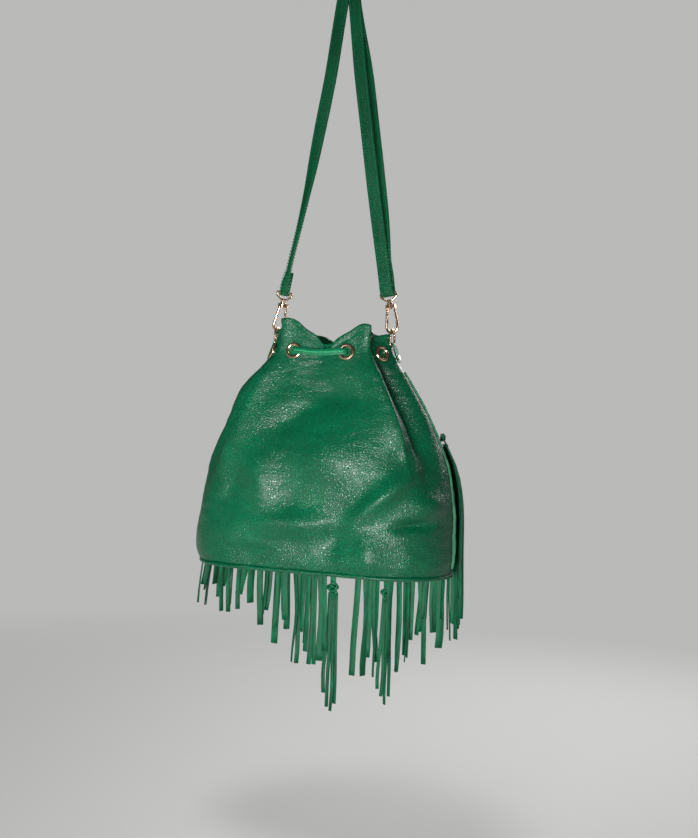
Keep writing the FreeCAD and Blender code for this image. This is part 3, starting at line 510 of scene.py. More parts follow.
def pleat_offset(turn, level):
    offset = 0
    for pleat in PLEATS:
        rise = smooth_step(pleat.start, pleat.peak, level)
        if rise == 0:
            continue
        share = (level - pleat.start) / (BAG_HEIGHT - pleat.start)
        across = turn_gap(turn, pleat.foot + (pleat.top - pleat.foot) * share)
        fade = 1 - (1 - pleat.left) * smooth_step(pleat.peak, BAG_HEIGHT - 8, level)
        width = (pleat.before if across < 0 else pleat.after) * (1.25 - 0.35 * share)
        offset += pleat.height * rise * fade * bell(across, width)
    return offset


def swell_offset(turn, level):
    offset = 0
    run = quarter_run(level)
    for swell in SWELLS:
        across = turn_gap(turn, swell.turn) * run
        up = level - swell.level
        if abs(across) + abs(up) > 3 * (swell.across + swell.up):
            continue
        angle = math.radians(swell.turned)
        first = across * math.cos(angle) + up * math.sin(angle)
        second = up * math.cos(angle) - across * math.sin(angle)
        offset += swell.height * bell(first, swell.across) * bell(second, swell.up)
    return offset


def eyelet_turns():
    """Where the eyelets sit, in turns round the bag; the first is the back's near eyelet on the right."""
    depth = half_depth(EYELET_LEVEL)
    straight = half_width(EYELET_LEVEL) - depth
    lean = math.asin((EYELET_ACROSS - straight) / depth) / (math.pi / 2)
    near = STRAIGHT_SHARE + lean * (1 - STRAIGHT_SHARE)
    side = STRAIGHT_SHARE + SIDE_EYELET_ANGLE / 90 * (1 - STRAIGHT_SHARE)
    return [middle + sign * turn for middle in (0, 2) for sign in (1, -1) for turn in (near, side)]


EYELET_TURNS = eyelet_turns()
RIM_QUARTER = QUARTER / 2
CLAMP_REACH = 15.0


def calm(turn, level):
    """0 at an eyelet, where the leather is clamped flat, and 1 away from it."""
    result = 1.0
    for centre in EYELET_TURNS:
        across = turn_gap(turn, centre) * RIM_QUARTER
        result *= 1 - bell(math.hypot(across, level - EYELET_LEVEL), CLAMP_REACH)
    return result


# A kind of small wrinkle: how far it stands out, and its size across and up.
Wrinkle = namedtuple("Wrinkle", "height across up")

ROLLING = Wrinkle(1.6, 46.0, 46.0)
CREASED = Wrinkle(0.55, 16.0, 8.0)
PRESSED = Wrinkle(0.6, 12.0, 2.8)


def wrinkle(kind, spot):
    return kind.height * noise.noise(Vector((spot.x / kind.across, spot.y / kind.across, spot.z / kind.up)))


def small_wrinkles(spot):
    """Low rolling folds, fine creases, and the level wrinkles that the drawcord presses into the top."""
    pressed = wrinkle(PRESSED, spot) * smooth_step(150, 240, spot.z)
    return wrinkle(ROLLING, spot) + wrinkle(CREASED, spot) + pressed


FOOT_TUCK = 3.4  # how far the wall's foot draws in over the base's seam
FOOT_HEIGHT = 17
SEAM_DIP = 1.2
SEAM_WIDTH = 2.4
HEM_FOLD_HEIGHT = 0.7
HEM_GROOVE_DEPTH = 0.8


def hem_offset(below_rim):
    """The turned hem stands out at the rim, with a groove along its line of stitches."""
    return HEM_FOLD_HEIGHT * bell(below_rim - 3.0, 2.4) - HEM_GROOVE_DEPTH * bell(below_rim - 7.5, 1.3)


def wall_surface(turn, level, stand=0):
    """The leather's outer surface, with its pleats, swells, seams and small wrinkles."""
    point, outward = oval_point(turn, level)
    free = calm(turn, level)
    offset = (pleat_offset(turn, level) + swell_offset(turn, level)) * free
    offset += small_wrinkles(point) * free
    foot = 1 - smooth_step(WALL_START - 2, WALL_START + FOOT_HEIGHT, level)
    offset -= FOOT_TUCK * foot ** 1.5
    seam = min(abs(turn_gap(turn, 1)), abs(turn_gap(turn, 3))) * quarter_run(level)
    offset -= SEAM_DIP * bell(seam, SEAM_WIDTH)
    offset += hem_offset(rim_level(turn) - level)
    return point + outward * (offset + stand)


def wall_sheet(name, turns, columns, rows, low, top_gap, inset):
    """A sheet of leather along the wall between two turns, from a level up to just under the rim."""
    points = []
    high = BAG_HEIGHT - top_gap
    for row in range(rows):
        share = row / (rows - 1)
        for column in range(columns):
            turn = turns[0] + (turns[1] - turns[0]) * column / (columns - 1)
            rise = rim_level(turn) - top_gap - high
            level = low + (high - low) * share + rise * smooth_step(0.55, 1, share) * share
            points.append(wall_surface(turn, level, -inset))
    return make_mesh(name, points, grid_faces(rows, columns), LEATHER_SKIN)


SEAM_GAP = 0.004  # in turns, on each side of a side seam


def make_panels():
    """The back and front panels, each one sheet of leather from side seam to side seam."""
    for side, middle in (("back", 0), ("front", 2)):
        turns = (middle - 1 + SEAM_GAP, middle + 1 - SEAM_GAP)
        panel = wall_sheet(f"{side}_leather", turns, 300, 150, WALL_START, 0, 0)
        thicken(panel, LEATHER)
        belong(panel, "bag", f"{side}_panel")


FACING_HEIGHT = 36
LINING_OVERLAP = 3


def make_inside():
    """The leather facing under the rim, and the lining below it with its floor."""
    facing = wall_sheet("inner_facing", (0, 4), 260, 16, BAG_HEIGHT - FACING_HEIGHT, 0.6, LEATHER + 0.5)
    thicken(facing, LEATHER)
    belong(facing, "bag", "top_facing")
    columns, rows = 220, 60
    points = []
    floor = WALL_START + 4
    height = BAG_HEIGHT - FACING_HEIGHT + LINING_OVERLAP - floor
    for row in range(rows):
        level = floor + height * row / (rows - 1)
        points += [wall_surface(4 * column / columns, level, -LEATHER - 1.2) for column in range(columns)]
    faces = grid_faces(rows, columns, True)
    faces.append(tuple(range(columns - 1, -1, -1)))
    lining = make_mesh("lining_cloth", points, faces, LINING_CLOTH)
    thicken(lining, 0.7)
    belong(lining, "bag", "lining")


BASE_INSET = 4.6
BASE_LEVEL = 0.5
ROLL_INSET = 3.1
ROLL_LEVEL = 3.0
ROLL_RADIUS = 2.2


def make_base():
    """The leather base, a little uneven and turned up at its edge."""
    columns, rings = 240, 24
    points = []
    for ring in range(rings):
        share = 1 - ring / rings
        edge = smooth_step(0.9, 1, share)
        for column in range(columns):
            point, _ = oval_point(4 * column / columns, 0, -BASE_INSET)
            x, y = point.x * share, point.y * share
            rough = 0.5 * noise.noise(Vector((x, y, 3)) / 30.0)
            points.append(Vector((x, y, BASE_LEVEL + rough * (1 - edge) + 1.5 * edge)))
    points.append(UP * BASE_LEVEL)
    faces = grid_faces(rings, columns, True)
    centre = len(points) - 1
    last = (rings - 1) * columns
    faces += [(last + column, last + (column + 1) % columns, centre) for column in range(columns)]
    base = make_mesh("base_leather", points, faces, LEATHER_SKIN)
    thicken(base, LEATHER, 1.0)
    belong(base, "bag", "base_panel")


def make_base_roll():
    """The turned seam round the base, which shows as a thin soft roll."""
    path = []
    steps = 400
    for step in range(steps + 1):
        turn = 4 * step / steps
        angle = turn * math.pi / 2
        waver = 0.5 * noise.noise(Vector((math.cos(angle), math.sin(angle), 2)) * 5)
        path.append(oval_point(turn, 0, waver - ROLL_INSET)[0] + UP * (ROLL_LEVEL + waver))
    roll = tube("base_seam_roll", path, ROLL_RADIUS, LEATHER_SKIN)
    belong(roll, "bag", "base_welt")


def make_side_seams():
    """The raw seam allowance that stands out down each side, widest at its foot."""
    foot, length, steps = 12, 212, 90
    for name, turn in (("side_welt_right", 1.0), ("side_welt_left", 3.0)):
        fin = Band()
        path, facings, widths = [], [], []
        for step in range(steps):
            level = foot + length * step / (steps - 1)
            stand = 1.4 + 0.8 * noise.noise(Vector((turn, 0, level / 26.0)))
            path.append(wall_surface(turn, level, stand))
            facings.append(Vector((0, 1, 0.15 * noise.noise(Vector((5, turn, level / 15.0))))))
            lower = 1 - smooth_step(60, 110, level)
            widths.append(3.0 + 2.4 * lower + 1.2 * noise.noise(Vector((9, turn, level / 22.0))))
        fin.sweep(path, facings, widths, 2.4)
        fin.finish(name + "_seam", RAW_EDGE, "bag", "leather", name)


# ---- laces, knots and fringe

def stitch_run(stitches, path, facings, shift, stand, pitch=3.4, length=2.2, radius=0.4):
    """Small thread stitches along a path, shifted across it and standing on its face, with sunk ends."""
    sunk = 0.35
    lengths = [0.0]
    for first, second in zip(path, path[1:]):
        lengths.append(lengths[-1] + (second - first).length)
    place = pitch
    index = 0
    while place < lengths[-1] - pitch:
        while lengths[index + 1] < place:
            index += 1
        share = (place - lengths[index]) / (lengths[index + 1] - lengths[index])
        point = path[index].lerp(path[index + 1], share)
        along = (path[index + 1] - path[index]).normalized()
        across = along.cross(facings[index]).normalized()
        out = across.cross(along).normalized()
        middle = point + across * shift + out * stand
        ends = [middle - along * length / 2 - out * sunk, middle - along * length / 4,
                middle + along * length / 4, middle + along * length / 2 - out * sunk]
        stitches.sweep(ends, [out] * 4, radius * 2.4, radius * 2)
        place += pitch


def knot(band, centre, facing, size, width, thickness, twist):
    """A lace tied in an overhand knot, drawn as a tight trefoil of flat lace; returns the knot's foot."""
    across = facing.cross(UP).normalized()
    path, facings = [], []
    steps = 44
    for step in range(steps + 1):
        angle = 2 * math.pi * step / steps + twist
        flat_x = math.sin(angle) + 2 * math.sin(2 * angle)
        flat_y = math.cos(angle) - 2 * math.cos(2 * angle)
        deep = -math.sin(3 * angle)
        spot = across * (flat_x * size / 3) + UP * (flat_y * size / 3) + facing * (deep * size / 3.4)
        path.append(centre + spot)
        facings.append((spot.normalized() + facing * 0.35).normalized())
    band.sweep(path, facings, width, thickness)
    return centre - UP * size * 0.9


def wall_reach(level, outward):
    """How far the smooth wall reaches from the axis in a level direction."""
    depth = half_depth(level)
    return (half_width(level) - depth) * abs(outward.x) + depth


def hanging_path(start, outward, length, stand, sway, spread, drift, flare):
    """A strip's line: it spreads below its knot and hangs down the wall, swaying and flaring a little."""
    across = outward.cross(UP)
    wall_at_start = wall_reach(start.z, outward)
    seed = chance.uniform(0, 90)
    path = []
    steps = 15
    for step in range(steps):
        share = step / (steps - 1)
        level = start.z - length * share
        out = wall_reach(max(level, 10.0), outward) - wall_at_start
        out += stand * smooth_step(0, 0.2, share) + flare * smooth_step(40, -80, level)
        wave = noise.noise(Vector((seed, share * 2.2, 0))) * sway * share
        lift = noise.noise(Vector((seed, 7, share * 2))) * sway * 0.5 * share
        side = wave + spread * smooth_step(0, 0.3, share) + drift * share * share
        path.append(Vector((start.x, start.y, level)) + outward * (out + max(lift, -1.0)) + across * side)
    return path


def strip_facings(path, outward, twist):
    """Which way a strip faces at each point of its path, when it turns by twist on its way down."""
    across = outward.cross(UP)
    facings = []
    for index in range(len(path)):
        turned = twist * index / (len(path) - 1)
        facings.append(outward * math.cos(turned) + across * math.sin(turned))
    return facings


CORD_PASSING_ROOM = 9.5
STRIP_LENGTH = 200
STRIP_THICKNESS = 1.2
STRIP_WIDTHS = (4.4, 5.6, 6.6, 7.6, 9.0)
STRIP_TWISTS = (-1.1, -0.4, -0.2, 0.1, 0.3, 1.0)
FOUR_STRIPS_CHANCE = 0.55
LEFT_EDGE_FLARE = 12
FLARE = 2


def fringe_groups():
    """Each fringe body with its side and its knots' places, from the CAD solids of the knots."""
    groups = []
    for side in SIDES:
        knots = solid_centres(f"fringe_knots_{side}")
        for part in ("side", "front", "centre"):
            name = f"fringe_{side}_{part}"
            groups.append((name, side, [centre for centre in knots if owns(name, centre)]))
    return groups


def solid_centres(name):
    """The middles of the separate solids in a CAD node, the lowest first."""
    mesh = frame["nodes"][name].data
    owner = list(range(len(mesh.vertices)))

    def find(index):
        while owner[index] != index:
            owner[index] = owner[owner[index]]
            index = owner[index]
        return index

    places = {}
    for vertex in mesh.vertices:
        key = tuple(round(part, 6) for part in vertex.co)
        owner[vertex.index] = places.setdefault(key, vertex.index)
    for edge in mesh.edges:
        first, second = find(edge.vertices[0]), find(edge.vertices[1])
        owner[first] = second
    solids = {}
    for vertex in mesh.vertices:
        solids.setdefault(find(vertex.index), []).append(vertex.co)
    centres = []
    for members in solids.values():
        low, high = (Vector([pick(axis) for axis in zip(*members)]) for pick in (min, max))
        centres.append((low + high) / 2 / MM)
    return sorted(centres, key=lambda point: point.z)


def owns(name, centre):
    """Whether a knot stands over a fringe group's strips."""
    low, high = node_box(name)
    return low.x - 1 < centre.x < high.x + 1 and low.y - 12 < centre.y < high.y + 3


def level_outward(point):
    """The level outward direction of the oval wall at a point near it."""
    depth = half_depth(point.z)
    straight = half_width(point.z) - depth
    centre = Vector((max(min(point.x, straight), -straight), 0, 0))
    return (Vector((point.x, point.y, 0)) - centre).normalized()


def cord_end(side):
    """Where a hanging cord end starts, its knot's middle, and how far it leans to the right as it drops."""
    top = joint_point(f"cord_end_{side}_swing")
    low, high = node_box(f"cord_knot_{side}")
    foot = (low + high) / 2
    return top, foot, (foot.x - top.x) / (top.z - foot.z)


def step_aside(path, side):
    """Moves a strip sideways where it would hang behind the cord's end, so that it can swing past it."""
    top, _, lean = cord_end(side)
    last = path[-1]
    away = 1 if last.x > top.x + lean * (top.z - last.z) else -1
    for index, point in enumerate(path):
        cord_x = top.x + lean * (top.z - point.z)
        short = CORD_PASSING_ROOM - away * (point.x - cord_x)
        if short > 0:
            point.x += away * short * smooth_step(0, 0.12, index / (len(path) - 1))


def hang_strips(strips, name, side, foot, outward):
    """The four or five strips below one knot, side by side and each a little different."""
    across = outward.cross(UP)
    count = 4 if chance.random() < FOUR_STRIPS_CHANCE else 5
    flare = LEFT_EDGE_FLARE if name == "fringe_left_side" else FLARE
    for index in range(count):
        slot = index - (count - 1) / 2
        start = foot + across * (slot * 1.8) + outward * (1.2 - 0.4 * abs(slot)) + UP * 1.5
        length = STRIP_LENGTH + chance.uniform(-26, 16)
        spread = slot * 3.6 + chance.uniform(-1, 1)
        drift = chance.uniform(-4, 4)
        sway = chance.uniform(4, 11)
        stand = 1.2 + 1.3 * (index % 2) + 0.4 * index
        path = hanging_path(start, outward, length, stand, sway, spread, drift, flare)
        if name.endswith("centre"):
            step_aside(path, side)
        facings = strip_facings(path, outward, chance.choice(STRIP_TWISTS))
        width = chance.choice(STRIP_WIDTHS)
        strips.sweep(path, facings, width, STRIP_THICKNESS, chance.uniform(-0.5, 0.5))


def make_fringe():
    """Knots along a falling line on the front, each with its strips, which swing with their group."""
    knots = {side: Band() for side in SIDES}
    for name, side, centres in fringe_groups():
        strips = Band()
        for centre in centres:
            outward = level_outward(centre)
            foot = knot(knots[side], centre, outward, 4.0, 4.4, 1.3, chance.uniform(0, 6))
            hang_strips(strips, name, side, foot, outward)
        strips.finish(name + "_strips", FRINGE_SKIN, name, "suede", name)
    for side, band in knots.items():
        band.finish(f"fringe_ties_{side}", FRINGE_SKIN, "bag", "suede", f"fringe_knots_{side}")


LACE_STEPS = 60
LACE_THICKNESS = 2.0
LACE_NARROW = 4.6  # its width where an eyelet squeezes it
LACE_SPREAD = 3.2  # how much wider it lies where it is free
LACE_BEHIND = -6.0  # where it runs behind the leather's face


def lace_across_back(near):
    """The lace's path, facings and widths between the back's near eyelets, where it turns edge-on."""
    half = ((1, LACE_BEHIND, 0), (1, 1.6, 0), (0.78, 4.2, 0), (0.3, 7.0, -1.2))
    whole = [(-share, stand, dip) for share, stand, dip in half] + list(half[::-1])
    points = [wall_surface(near * share, EYELET_LEVEL, stand) + UP * dip for share, stand, dip in whole]
    facings, widths = [], []
    for index in range(LACE_STEPS):
        from_end = min(index, LACE_STEPS - 1 - index) / (LACE_STEPS - 1)
        widths.append(LACE_NARROW + LACE_SPREAD * smooth_step(0.0, 0.24, from_end))
        turned = 1 - smooth_step(0.05, 0.2, from_end)
        sideways = Vector((-1 if index < LACE_STEPS / 2 else 1, -0.3, 0))
        facings.append((Vector((0, -1, 0.25)) * (1 - turned) + sideways * turned).normalized())
    return curve_through(points, LACE_STEPS), facings, widths


def lace_inside(near, side):
    """The lace's path inside the mouth, from a near eyelet of the back to the front's on that side."""
    points = [wall_surface(side * near, EYELET_LEVEL, LACE_BEHIND)]
    points += [wall_surface(side * turn, EYELET_LEVEL - 1, -11.0) for turn in (0.62, 0.85, 1.1, 1.35)]
    points += [wall_surface(2 - side * near, EYELET_LEVEL, stand) for stand in (LACE_BEHIND, 1.0)]
    return curve_through(points, LACE_STEPS)


def make_drawcord():
    """The flat lace that shows between the back pair of eyelets, and runs on inside the mouth."""
    near = EYELET_TURNS[0]
    lace, stitches = Band(), Band()
    path, facings, widths = lace_across_back(near)
    lace.sweep(path, facings, widths, LACE_THICKNESS, 0.5)
    stitch_run(stitches, path[10:-10], facings[10:-10], 0.0, 1.5)
    for side in (-1, 1):
        run = lace_inside(near, side)
        lace.sweep(run, [level_outward(point) for point in run], LACE_NARROW, LACE_THICKNESS * 1.1)
    lace.finish("drawcord_lace", LACE_SKIN, "bag", "cord", "drawcord")
    stitches.finish("drawcord_stitches", THREAD, "bag", "cord")


CORD_STEPS = 70
TASSEL_LENGTHS = {"left": 144, "right": 128}


def hanging_cord(side):
    """The path of a cord's hanging end: out over the front wall, then down past the base to its knot."""
    top, foot, lean = cord_end(side)
    points = [Vector((top.x, top.y - 1, top.z))]
    for level, share in ((top.z - 14, 0.2), (150, 0.8), (52, 1.0), (foot.z + 6, 1.0)):
        out = top.y + 3 + (foot.y - top.y - 3) * share
        points.append(Vector((top.x + lean * (top.z - level), out, level)))
    return curve_through(points, CORD_STEPS)


def hang_tassel(strips, foot, length):
    """Four swaying strips below a cord's knot, the longest in the middle."""
    steps = 11
    for index in range(4):
        slot = index - 1.5
        start = Vector((foot.x + slot * 2.2, foot.y + 0.6 * index - 0.8, foot.z - 5))
        drop = length - 9 * abs(slot - 0.5) + chance.uniform(-6, 3)
        tail = [start]
        for step in range(1, steps + 1):
            share = step / steps
            sway = 4 * noise.noise(Vector((foot.x + index, share * 2, 4))) * share
            tail.append(start + Vector((slot * 2.4 * share + sway, sway * 0.4, -drop * share)))
        facings = strip_facings(tail, FRONT, chance.uniform(-0.8, 0.8))
        strips.sweep(tail, facings, chance.uniform(4.0, 5.6), 1.3)


def make_cord_ends():
    """The two ends of the lace that hang down the front, each with a knot and its strips."""
    facings = [Vector((0.25 * math.sin(step / 9), 1, 0.1)).normalized() for step in range(CORD_STEPS)]
    widths = [5 + 3 * smooth_step(0, 10, step) for step in range(CORD_STEPS)]
    for side in SIDES:
        body = f"cord_end_{side}"
        path = hanging_cord(side)
        foot = cord_end(side)[1]
        lace, stitches, ties, strips = Band(), Band(), Band(), Band()
        lace.sweep(path, facings, widths, LACE_THICKNESS, 0.4)
        stitch_run(stitches, path[6:66], facings[6:66], 0.0, 1.4)
        knot(ties, foot, FRONT, 6.2, 7.4, 2.0, 1.0)
        hang_tassel(strips, foot, TASSEL_LENGTHS[side])
        lace.finish(f"{body}_lace", LACE_SKIN, body, "cord", body)
        ties.finish(f"cord_knot_{side}_tie", LACE_SKIN, body, "cord", f"cord_knot_{side}")
        strips.finish(f"cord_tassel_{side}_strips", FRINGE_SKIN, body, "suede", f"cord_tassel_{side}")
        stitches.finish(f"{body}_stitches", THREAD, body, "cord")


# ---- strap and tabs

STRAP_WIDTH = 15
STRAP_THICKNESS = 1.9
RING_WIRE = 1.2
STRAP_LAYER = RING_WIRE + 0.3 + STRAP_THICKNESS / 2  # from a ring bar's middle to the strap's
STRAP_STEPS = 900
TOP_TURN = 8.8  # the radius of the bend over the hanging point
LEG_HEIGHTS = (4, 14, 40, 80, 130, 190, 250, 310, 350)
RETURN_HEIGHT = 368
STRAP_GATHER = 5.5  # how much narrower the left end is at its ring
STITCH_INSET = 2.1


def leg_line(side):
    """A strap leg's foot at the ring's bar, and its direction up the leg."""
    joint = JOINTS[f"hook_{side}_swivel"]
    return Vector(joint["pos_m"]) / MM, Vector(joint["axis"]).normalized()


def leg_across(up):
    return FRONT.cross(up).normalized()


def bend(centre, up, radius, angles):
    """Points of a bend towards the back, with 0 degrees straight back and 90 up."""
    points = []
    for angle in angles:
        swing = math.radians(angle)
        points.append(centre + BACK * (radius * math.cos(swing)) + up * (radius * math.sin(swing)))
    return points


def leg_path(foot, up, stand, shift, heights):
    """Points up a strap leg; stand and shift tell how far each lies to the back and to the right."""
    right = Vector((1, 0, 0))
    return [foot + up * height + BACK * stand(height) + right * shift(height) for height in heights]


def slack(height):
    """The share of its slack by which a loose leg hangs away from its line."""
    return smooth_step(10, 120, height) * (1 - smooth_step(250, 350, height))


def left_shift(height):
    """How far the left leg hangs to the right of its line."""
    return 4 * slack(height)


def right_shift(height):
    return -1.5 * (1 - smooth_step(250, 350, height) + slack(height))


def return_shift(height):
    """The same for the right leg's layer that comes back up to the slider."""
    return 3.5 * smooth_step(4, 20, height) * slack(20 + height) + 2 * slack(height)


def strap_path():
    """The whole band: up the left leg, over the hanging point, down the right leg and half way up again."""
    middle = UP * (node_box("strap_band")[1].z - TOP_TURN - STRAP_THICKNESS / 2)
    left_foot, left_up = leg_line("left")
    right_foot, right_up = leg_line("right")
    length = (middle.z - left_foot.z) / left_up.z

    def stand(start, change):
        """A layer that starts behind the leg's line at the ring and moves by change up to the top."""
        return lambda height: start + change * height / length

    crossing = stand(STRAP_LAYER, -TOP_TURN - STRAP_LAYER)
    outer = stand(STRAP_LAYER, TOP_TURN - STRAP_LAYER)
    inner = stand(-STRAP_LAYER, TOP_TURN - STRAP_LAYER)
    path = leg_path(left_foot, left_up, stand(-STRAP_LAYER, 0), lambda height: 0, (24, 14, 4))
    path += bend(left_foot, left_up, STRAP_LAYER, (-120, -90, -60))
    path += leg_path(left_foot, left_up, crossing, left_shift, LEG_HEIGHTS)
    path += bend(middle, UP, TOP_TURN, (180, 135, 90, 45, 0))
    path += leg_path(right_foot, right_up, outer, right_shift, LEG_HEIGHTS[::-1])
    path += bend(right_foot, right_up, STRAP_LAYER, (-60, -90, -120))
    path += leg_path(right_foot, right_up, inner, return_shift, LEG_HEIGHTS + (RETURN_HEIGHT,))
    return path


def strap_lie(path):
    """The strap's facings and widths: its lower left leg is turned and gathered, its return is turned."""
    left_foot, left_up = leg_line("left")
    right_up = leg_line("right")[1]
    facings, widths = [], []
    for index, point in enumerate(path):
        along = direction(path, index)
        across = leg_across(left_up if point.x < 0 else right_up)
        if along.z < 0:
            across = -across
        facing = along.cross(across).normalized()
        height = point.z - left_foot.z
        turned, gathered = 0, 0
        if point.x < -20:
            turned = 0.75 * smooth_step(8, 30, height) * (1 - smooth_step(60, 220, height))
            gathered = 1 - smooth_step(20, 160, height)
        elif index > len(path) * 0.6 and along.z > 0:
            turned = 0.6 * smooth_step(8, 40, height)
        facings.append(Matrix.Rotation(-turned, 3, along) @ facing)
        widths.append(STRAP_WIDTH - STRAP_GATHER * gathered)
    return facings, widths


def make_strap():
    """The long band with a row of stitches along both edges of both its faces."""
    path = curve_through(strap_path(), STRAP_STEPS)
    facings, widths = strap_lie(path)
    band, stitches = Band(), Band()
    band.sweep(path, facings, widths, STRAP_THICKNESS)
    edge = STRAP_WIDTH / 2 - STITCH_INSET
    for shift in (-edge, edge):
        for face in (1, -1):
            stand = face * (STRAP_THICKNESS / 2 + 0.05)
            stitch_run(stitches, path[50:-20], facings[50:-20], shift, stand, 3.6, 2.3, 0.3)
    band.finish("strap_leather", STRAP_SKIN, "strap", "leather", "strap_band")
    stitches.finish("strap_stitches", STRAP_THREAD, "strap", "leather")


def make_strap_rivet():
    """The rivet through the folded end, its two domed heads covered in the strap's leather."""
    low, high = node_box("strap_rivet")
    middle = (low + high) / 2
    radius, dome = 2.9, 1.2
    foot = (high.y - low.y) / 2 - dome
    ring, rows = 16, 9
    points, faces = [], []
    for side in (-1, 1):
        start = len(points)
        for row in range(rows):
            angle = math.pi / 2 * row / (rows - 1)
            out = radius * math.cos(angle)
            y = side * (foot + dome * math.sin(angle))
            for step in range(ring):
                turned = 2 * math.pi * step / ring
                points.append(middle + Vector((out * math.cos(turned), y, out * math.sin(turned))))
        faces += grid_faces(rows, ring, True, start)
        faces.append(tuple(range(start, start + ring)))
    heads = make_mesh("strap_rivet_heads", points, faces, STRAP_SKIN)
    belong(heads, "strap", "strap_rivet")


TAB_STEPS = 50
TAB_WIDTH = 11.0
TAB_THICKNESS = 1.4
TAB_GAP = 2.05  # from the D-ring bar's middle to the leather's


def tab_path(side, sign):
    """A tab's fold: up its inner leaf, round the D-ring's bar and down its outer leaf."""
    low, high = node_box(f"tab_{side}")
    bar = joint_point(f"d_ring_{side}_tip")
    outer = max(abs(low.x), abs(high.x)) - 1.0
    lean = math.atan2(outer - abs(bar.x) - 2.2, bar.z - (low.z + 0.6))
    down = Vector((sign * math.sin(lean), 0, -math.cos(lean)))
    out = Vector((sign * math.cos(lean), 0, math.sin(lean)))
    drops = (21, 12, 3)
    path = [bar + down * drop - out * TAB_GAP for drop in drops]
    for angle in (150, 90, 30):
        swing = math.radians(angle)
        path.append(bar + out * (TAB_GAP * math.cos(swing)) - down * (TAB_GAP * math.sin(swing)))
    path += [bar + down * drop + out * TAB_GAP for drop in drops[::-1]]
    return curve_through(path, TAB_STEPS)


def make_tabs():
    """The folded leather tab that holds each D-ring, with two rows of stitches on its outer leaf."""
    for side, sign in zip(SIDES, (-1, 1)):
        path = tab_path(side, sign)
        facings = []
        for index in range(TAB_STEPS):
            facings.append(FRONT.cross(direction(path, index)).normalized() * -sign)
        band, stitches = Band(), Band()
        band.sweep(path, facings, TAB_WIDTH, TAB_THICKNESS)
        for shift in (-4.2, 4.2):
            stitch_run(stitches, path[30:-1], facings[30:-1], shift, 0.75)
        band.finish(f"tab_{side}_leather", STRAP_SKIN, "bag", "leather", f"tab_{side}")
        stitches.finish(f"tab_{side}_stitches", THREAD, "bag", "leather")


# ---- CAD nodes, stage, lights and camera

def finish_cad_nodes():
    """CAD shapes get their materials: fibre for the base board, gold plate for the rest."""
    for name, made in frame["nodes"].items():
        made.data.materials.clear()
        made.data.materials.append(BOARD if name == "base_board" else GOLD)


# From here on sizes are in metres and degrees.
BACKDROP = (0.49, 0.49, 0.48)
WORLD_STRENGTH = 0.12
FLOOR = (0.8, 0.8, 0.78)
FLOOR_REACH = 12.0
FLOOR_DROP = 0.16  # below the fringe
FADE_START = 0.35
FADE_END = 1.9
CAMERA_TURN = 20
CAMERA_ROLL = 2.5
CAMERA_DISTANCE = 1.4
CAMERA_LEVEL = 0.17
CAMERA_SHIFT = 0.021
LENS_LENGTH = 53.2  # in millimetres


def make_stage():
    """A pale floor that fades into the plain backdrop."""
    level = CAD_BOUNDS[0][2] - FLOOR_DROP
    corners = ((-1, -1), (1, -1), (1, 1), (-1, 1))
    points = [Vector((x * FLOOR_REACH, y * FLOOR_REACH, level)) / MM for x, y in corners]
    make_mesh("floor", points, [(0, 1, 2, 3)], stage_material())


def stage_material():
    """Matt and pale near the bag, and a plain glow like the backdrop's farther away."""
    nodes = Nodes("stage_pale")
    away = nodes.add("ShaderNodeVectorMath", {0: nodes.place}, operation="LENGTH").outputs["Value"]
    fade = nodes.add("ShaderNodeMapRange", {"Value": away, "From Min": FADE_START, "From Max": FADE_END})
    glow = nodes.add("ShaderNodeEmission", {"Color": BACKDROP})
    matt = nodes.surface.outputs["BSDF"]
    mixed = nodes.add("ShaderNodeMixShader", {0: fade.outputs["Result"], 1: matt, 2: glow.outputs[0]})
    nodes.put(nodes.tree.nodes["Material Output"].inputs["Surface"], mixed.outputs[0])
    return nodes.finish(FLOOR, nodes.spread(nodes.noise(4.0), 0.85, 0.95))


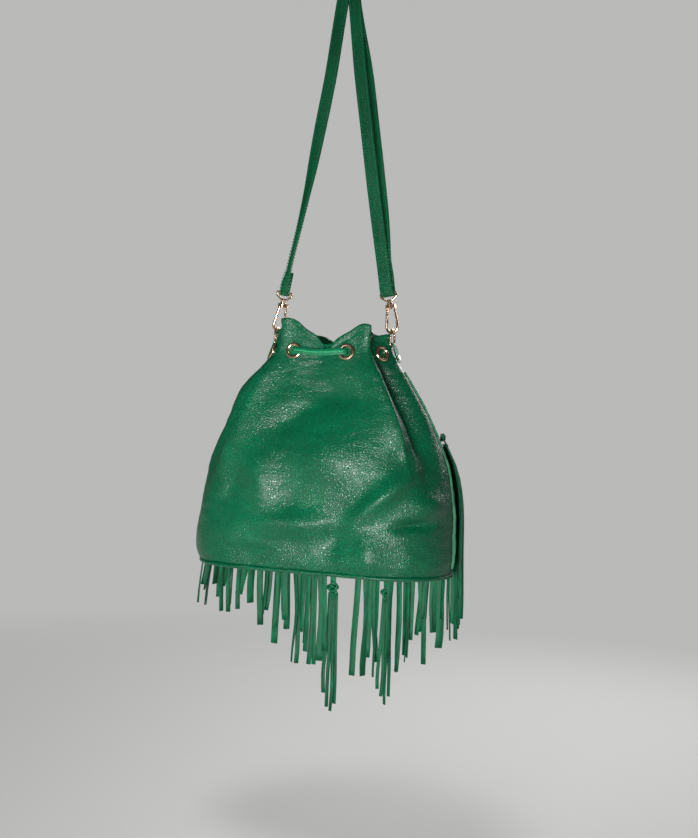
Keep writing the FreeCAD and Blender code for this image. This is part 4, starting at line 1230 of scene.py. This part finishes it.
def area_light(name, place, aim, width, power, shines=True, spread=180):
    """A square light; one that doesn't shine only fills in shadows and leaves no highlights."""
    light = bpy.data.lights.new(name, "AREA")
    light.size = width
    light.energy = power
    light.spread = math.radians(spread)
    made = add_object(name, light)
    made.location = place
    made.visible_glossy = shines
    made.rotation_euler = (Vector(aim) - Vector(place)).to_track_quat("-Z", "Y").to_euler()


def make_lights():
    """A softly lit backdrop, a low narrow key light on the back, fills, and a wide light on the front."""
    world = bpy.data.worlds.new("studio")
    world.use_nodes = True
    tree = world.node_tree
    background = tree.nodes["Background"]
    background.inputs["Color"].default_value = (*BACKDROP, 1)
    seen = tree.nodes.new("ShaderNodeLightPath")
    strength = tree.nodes.new("ShaderNodeMapRange")
    strength.inputs["To Min"].default_value = WORLD_STRENGTH
    tree.links.new(seen.outputs["Is Camera Ray"], strength.inputs["Value"])
    tree.links.new(strength.outputs["Result"], background.inputs["Strength"])
    bpy.context.scene.world = world
    bpy.context.scene.view_settings.view_transform = "Standard"
    area_light("high_fill", (0.05, -0.8, 1.55), (0, 0, 0.12), width=0.4, power=9, shines=False)
    area_light("low_fill", (-0.3, -1.5, -0.05), (0, 0, 0.08), width=0.5, power=1.7, shines=False, spread=50)
    area_light("key", (0.3, -1.7, -0.05), (0, 0, 0.08), width=0.45, power=2.8, spread=50)
    area_light("left", (-1.4, -0.5, 0.5), (0, 0, 0.12), width=0.5, power=2, shines=False)
    area_light("front", (0.3, 1.6, 1.0), (0, 0, 0.1), width=1.2, power=24)


def make_camera():
    """Level, and turned to the bag's right and rolled a little."""
    azimuth = math.radians(CAMERA_TURN)
    back = Vector((math.sin(azimuth), -math.cos(azimuth), 0))
    right = Vector((math.cos(azimuth), math.sin(azimuth), 0))
    lens = bpy.data.cameras.new("view")
    lens.lens = LENS_LENGTH
    made = add_object("view", lens)
    made.location = back * CAMERA_DISTANCE + right * CAMERA_SHIFT + UP * CAMERA_LEVEL
    roll = Matrix.Rotation(math.radians(CAMERA_ROLL), 3, "Z")
    made.rotation_euler = ((-back).to_track_quat("-Z", "Y").to_matrix() @ roll).to_euler()
    bpy.context.scene.camera = made


finish_cad_nodes()
make_panels()
make_inside()
make_base()
make_base_roll()
make_side_seams()
make_fringe()
make_drawcord()
make_cord_ends()
make_strap()
make_strap_rivet()
make_tabs()
make_stage()
make_lights()
make_camera()
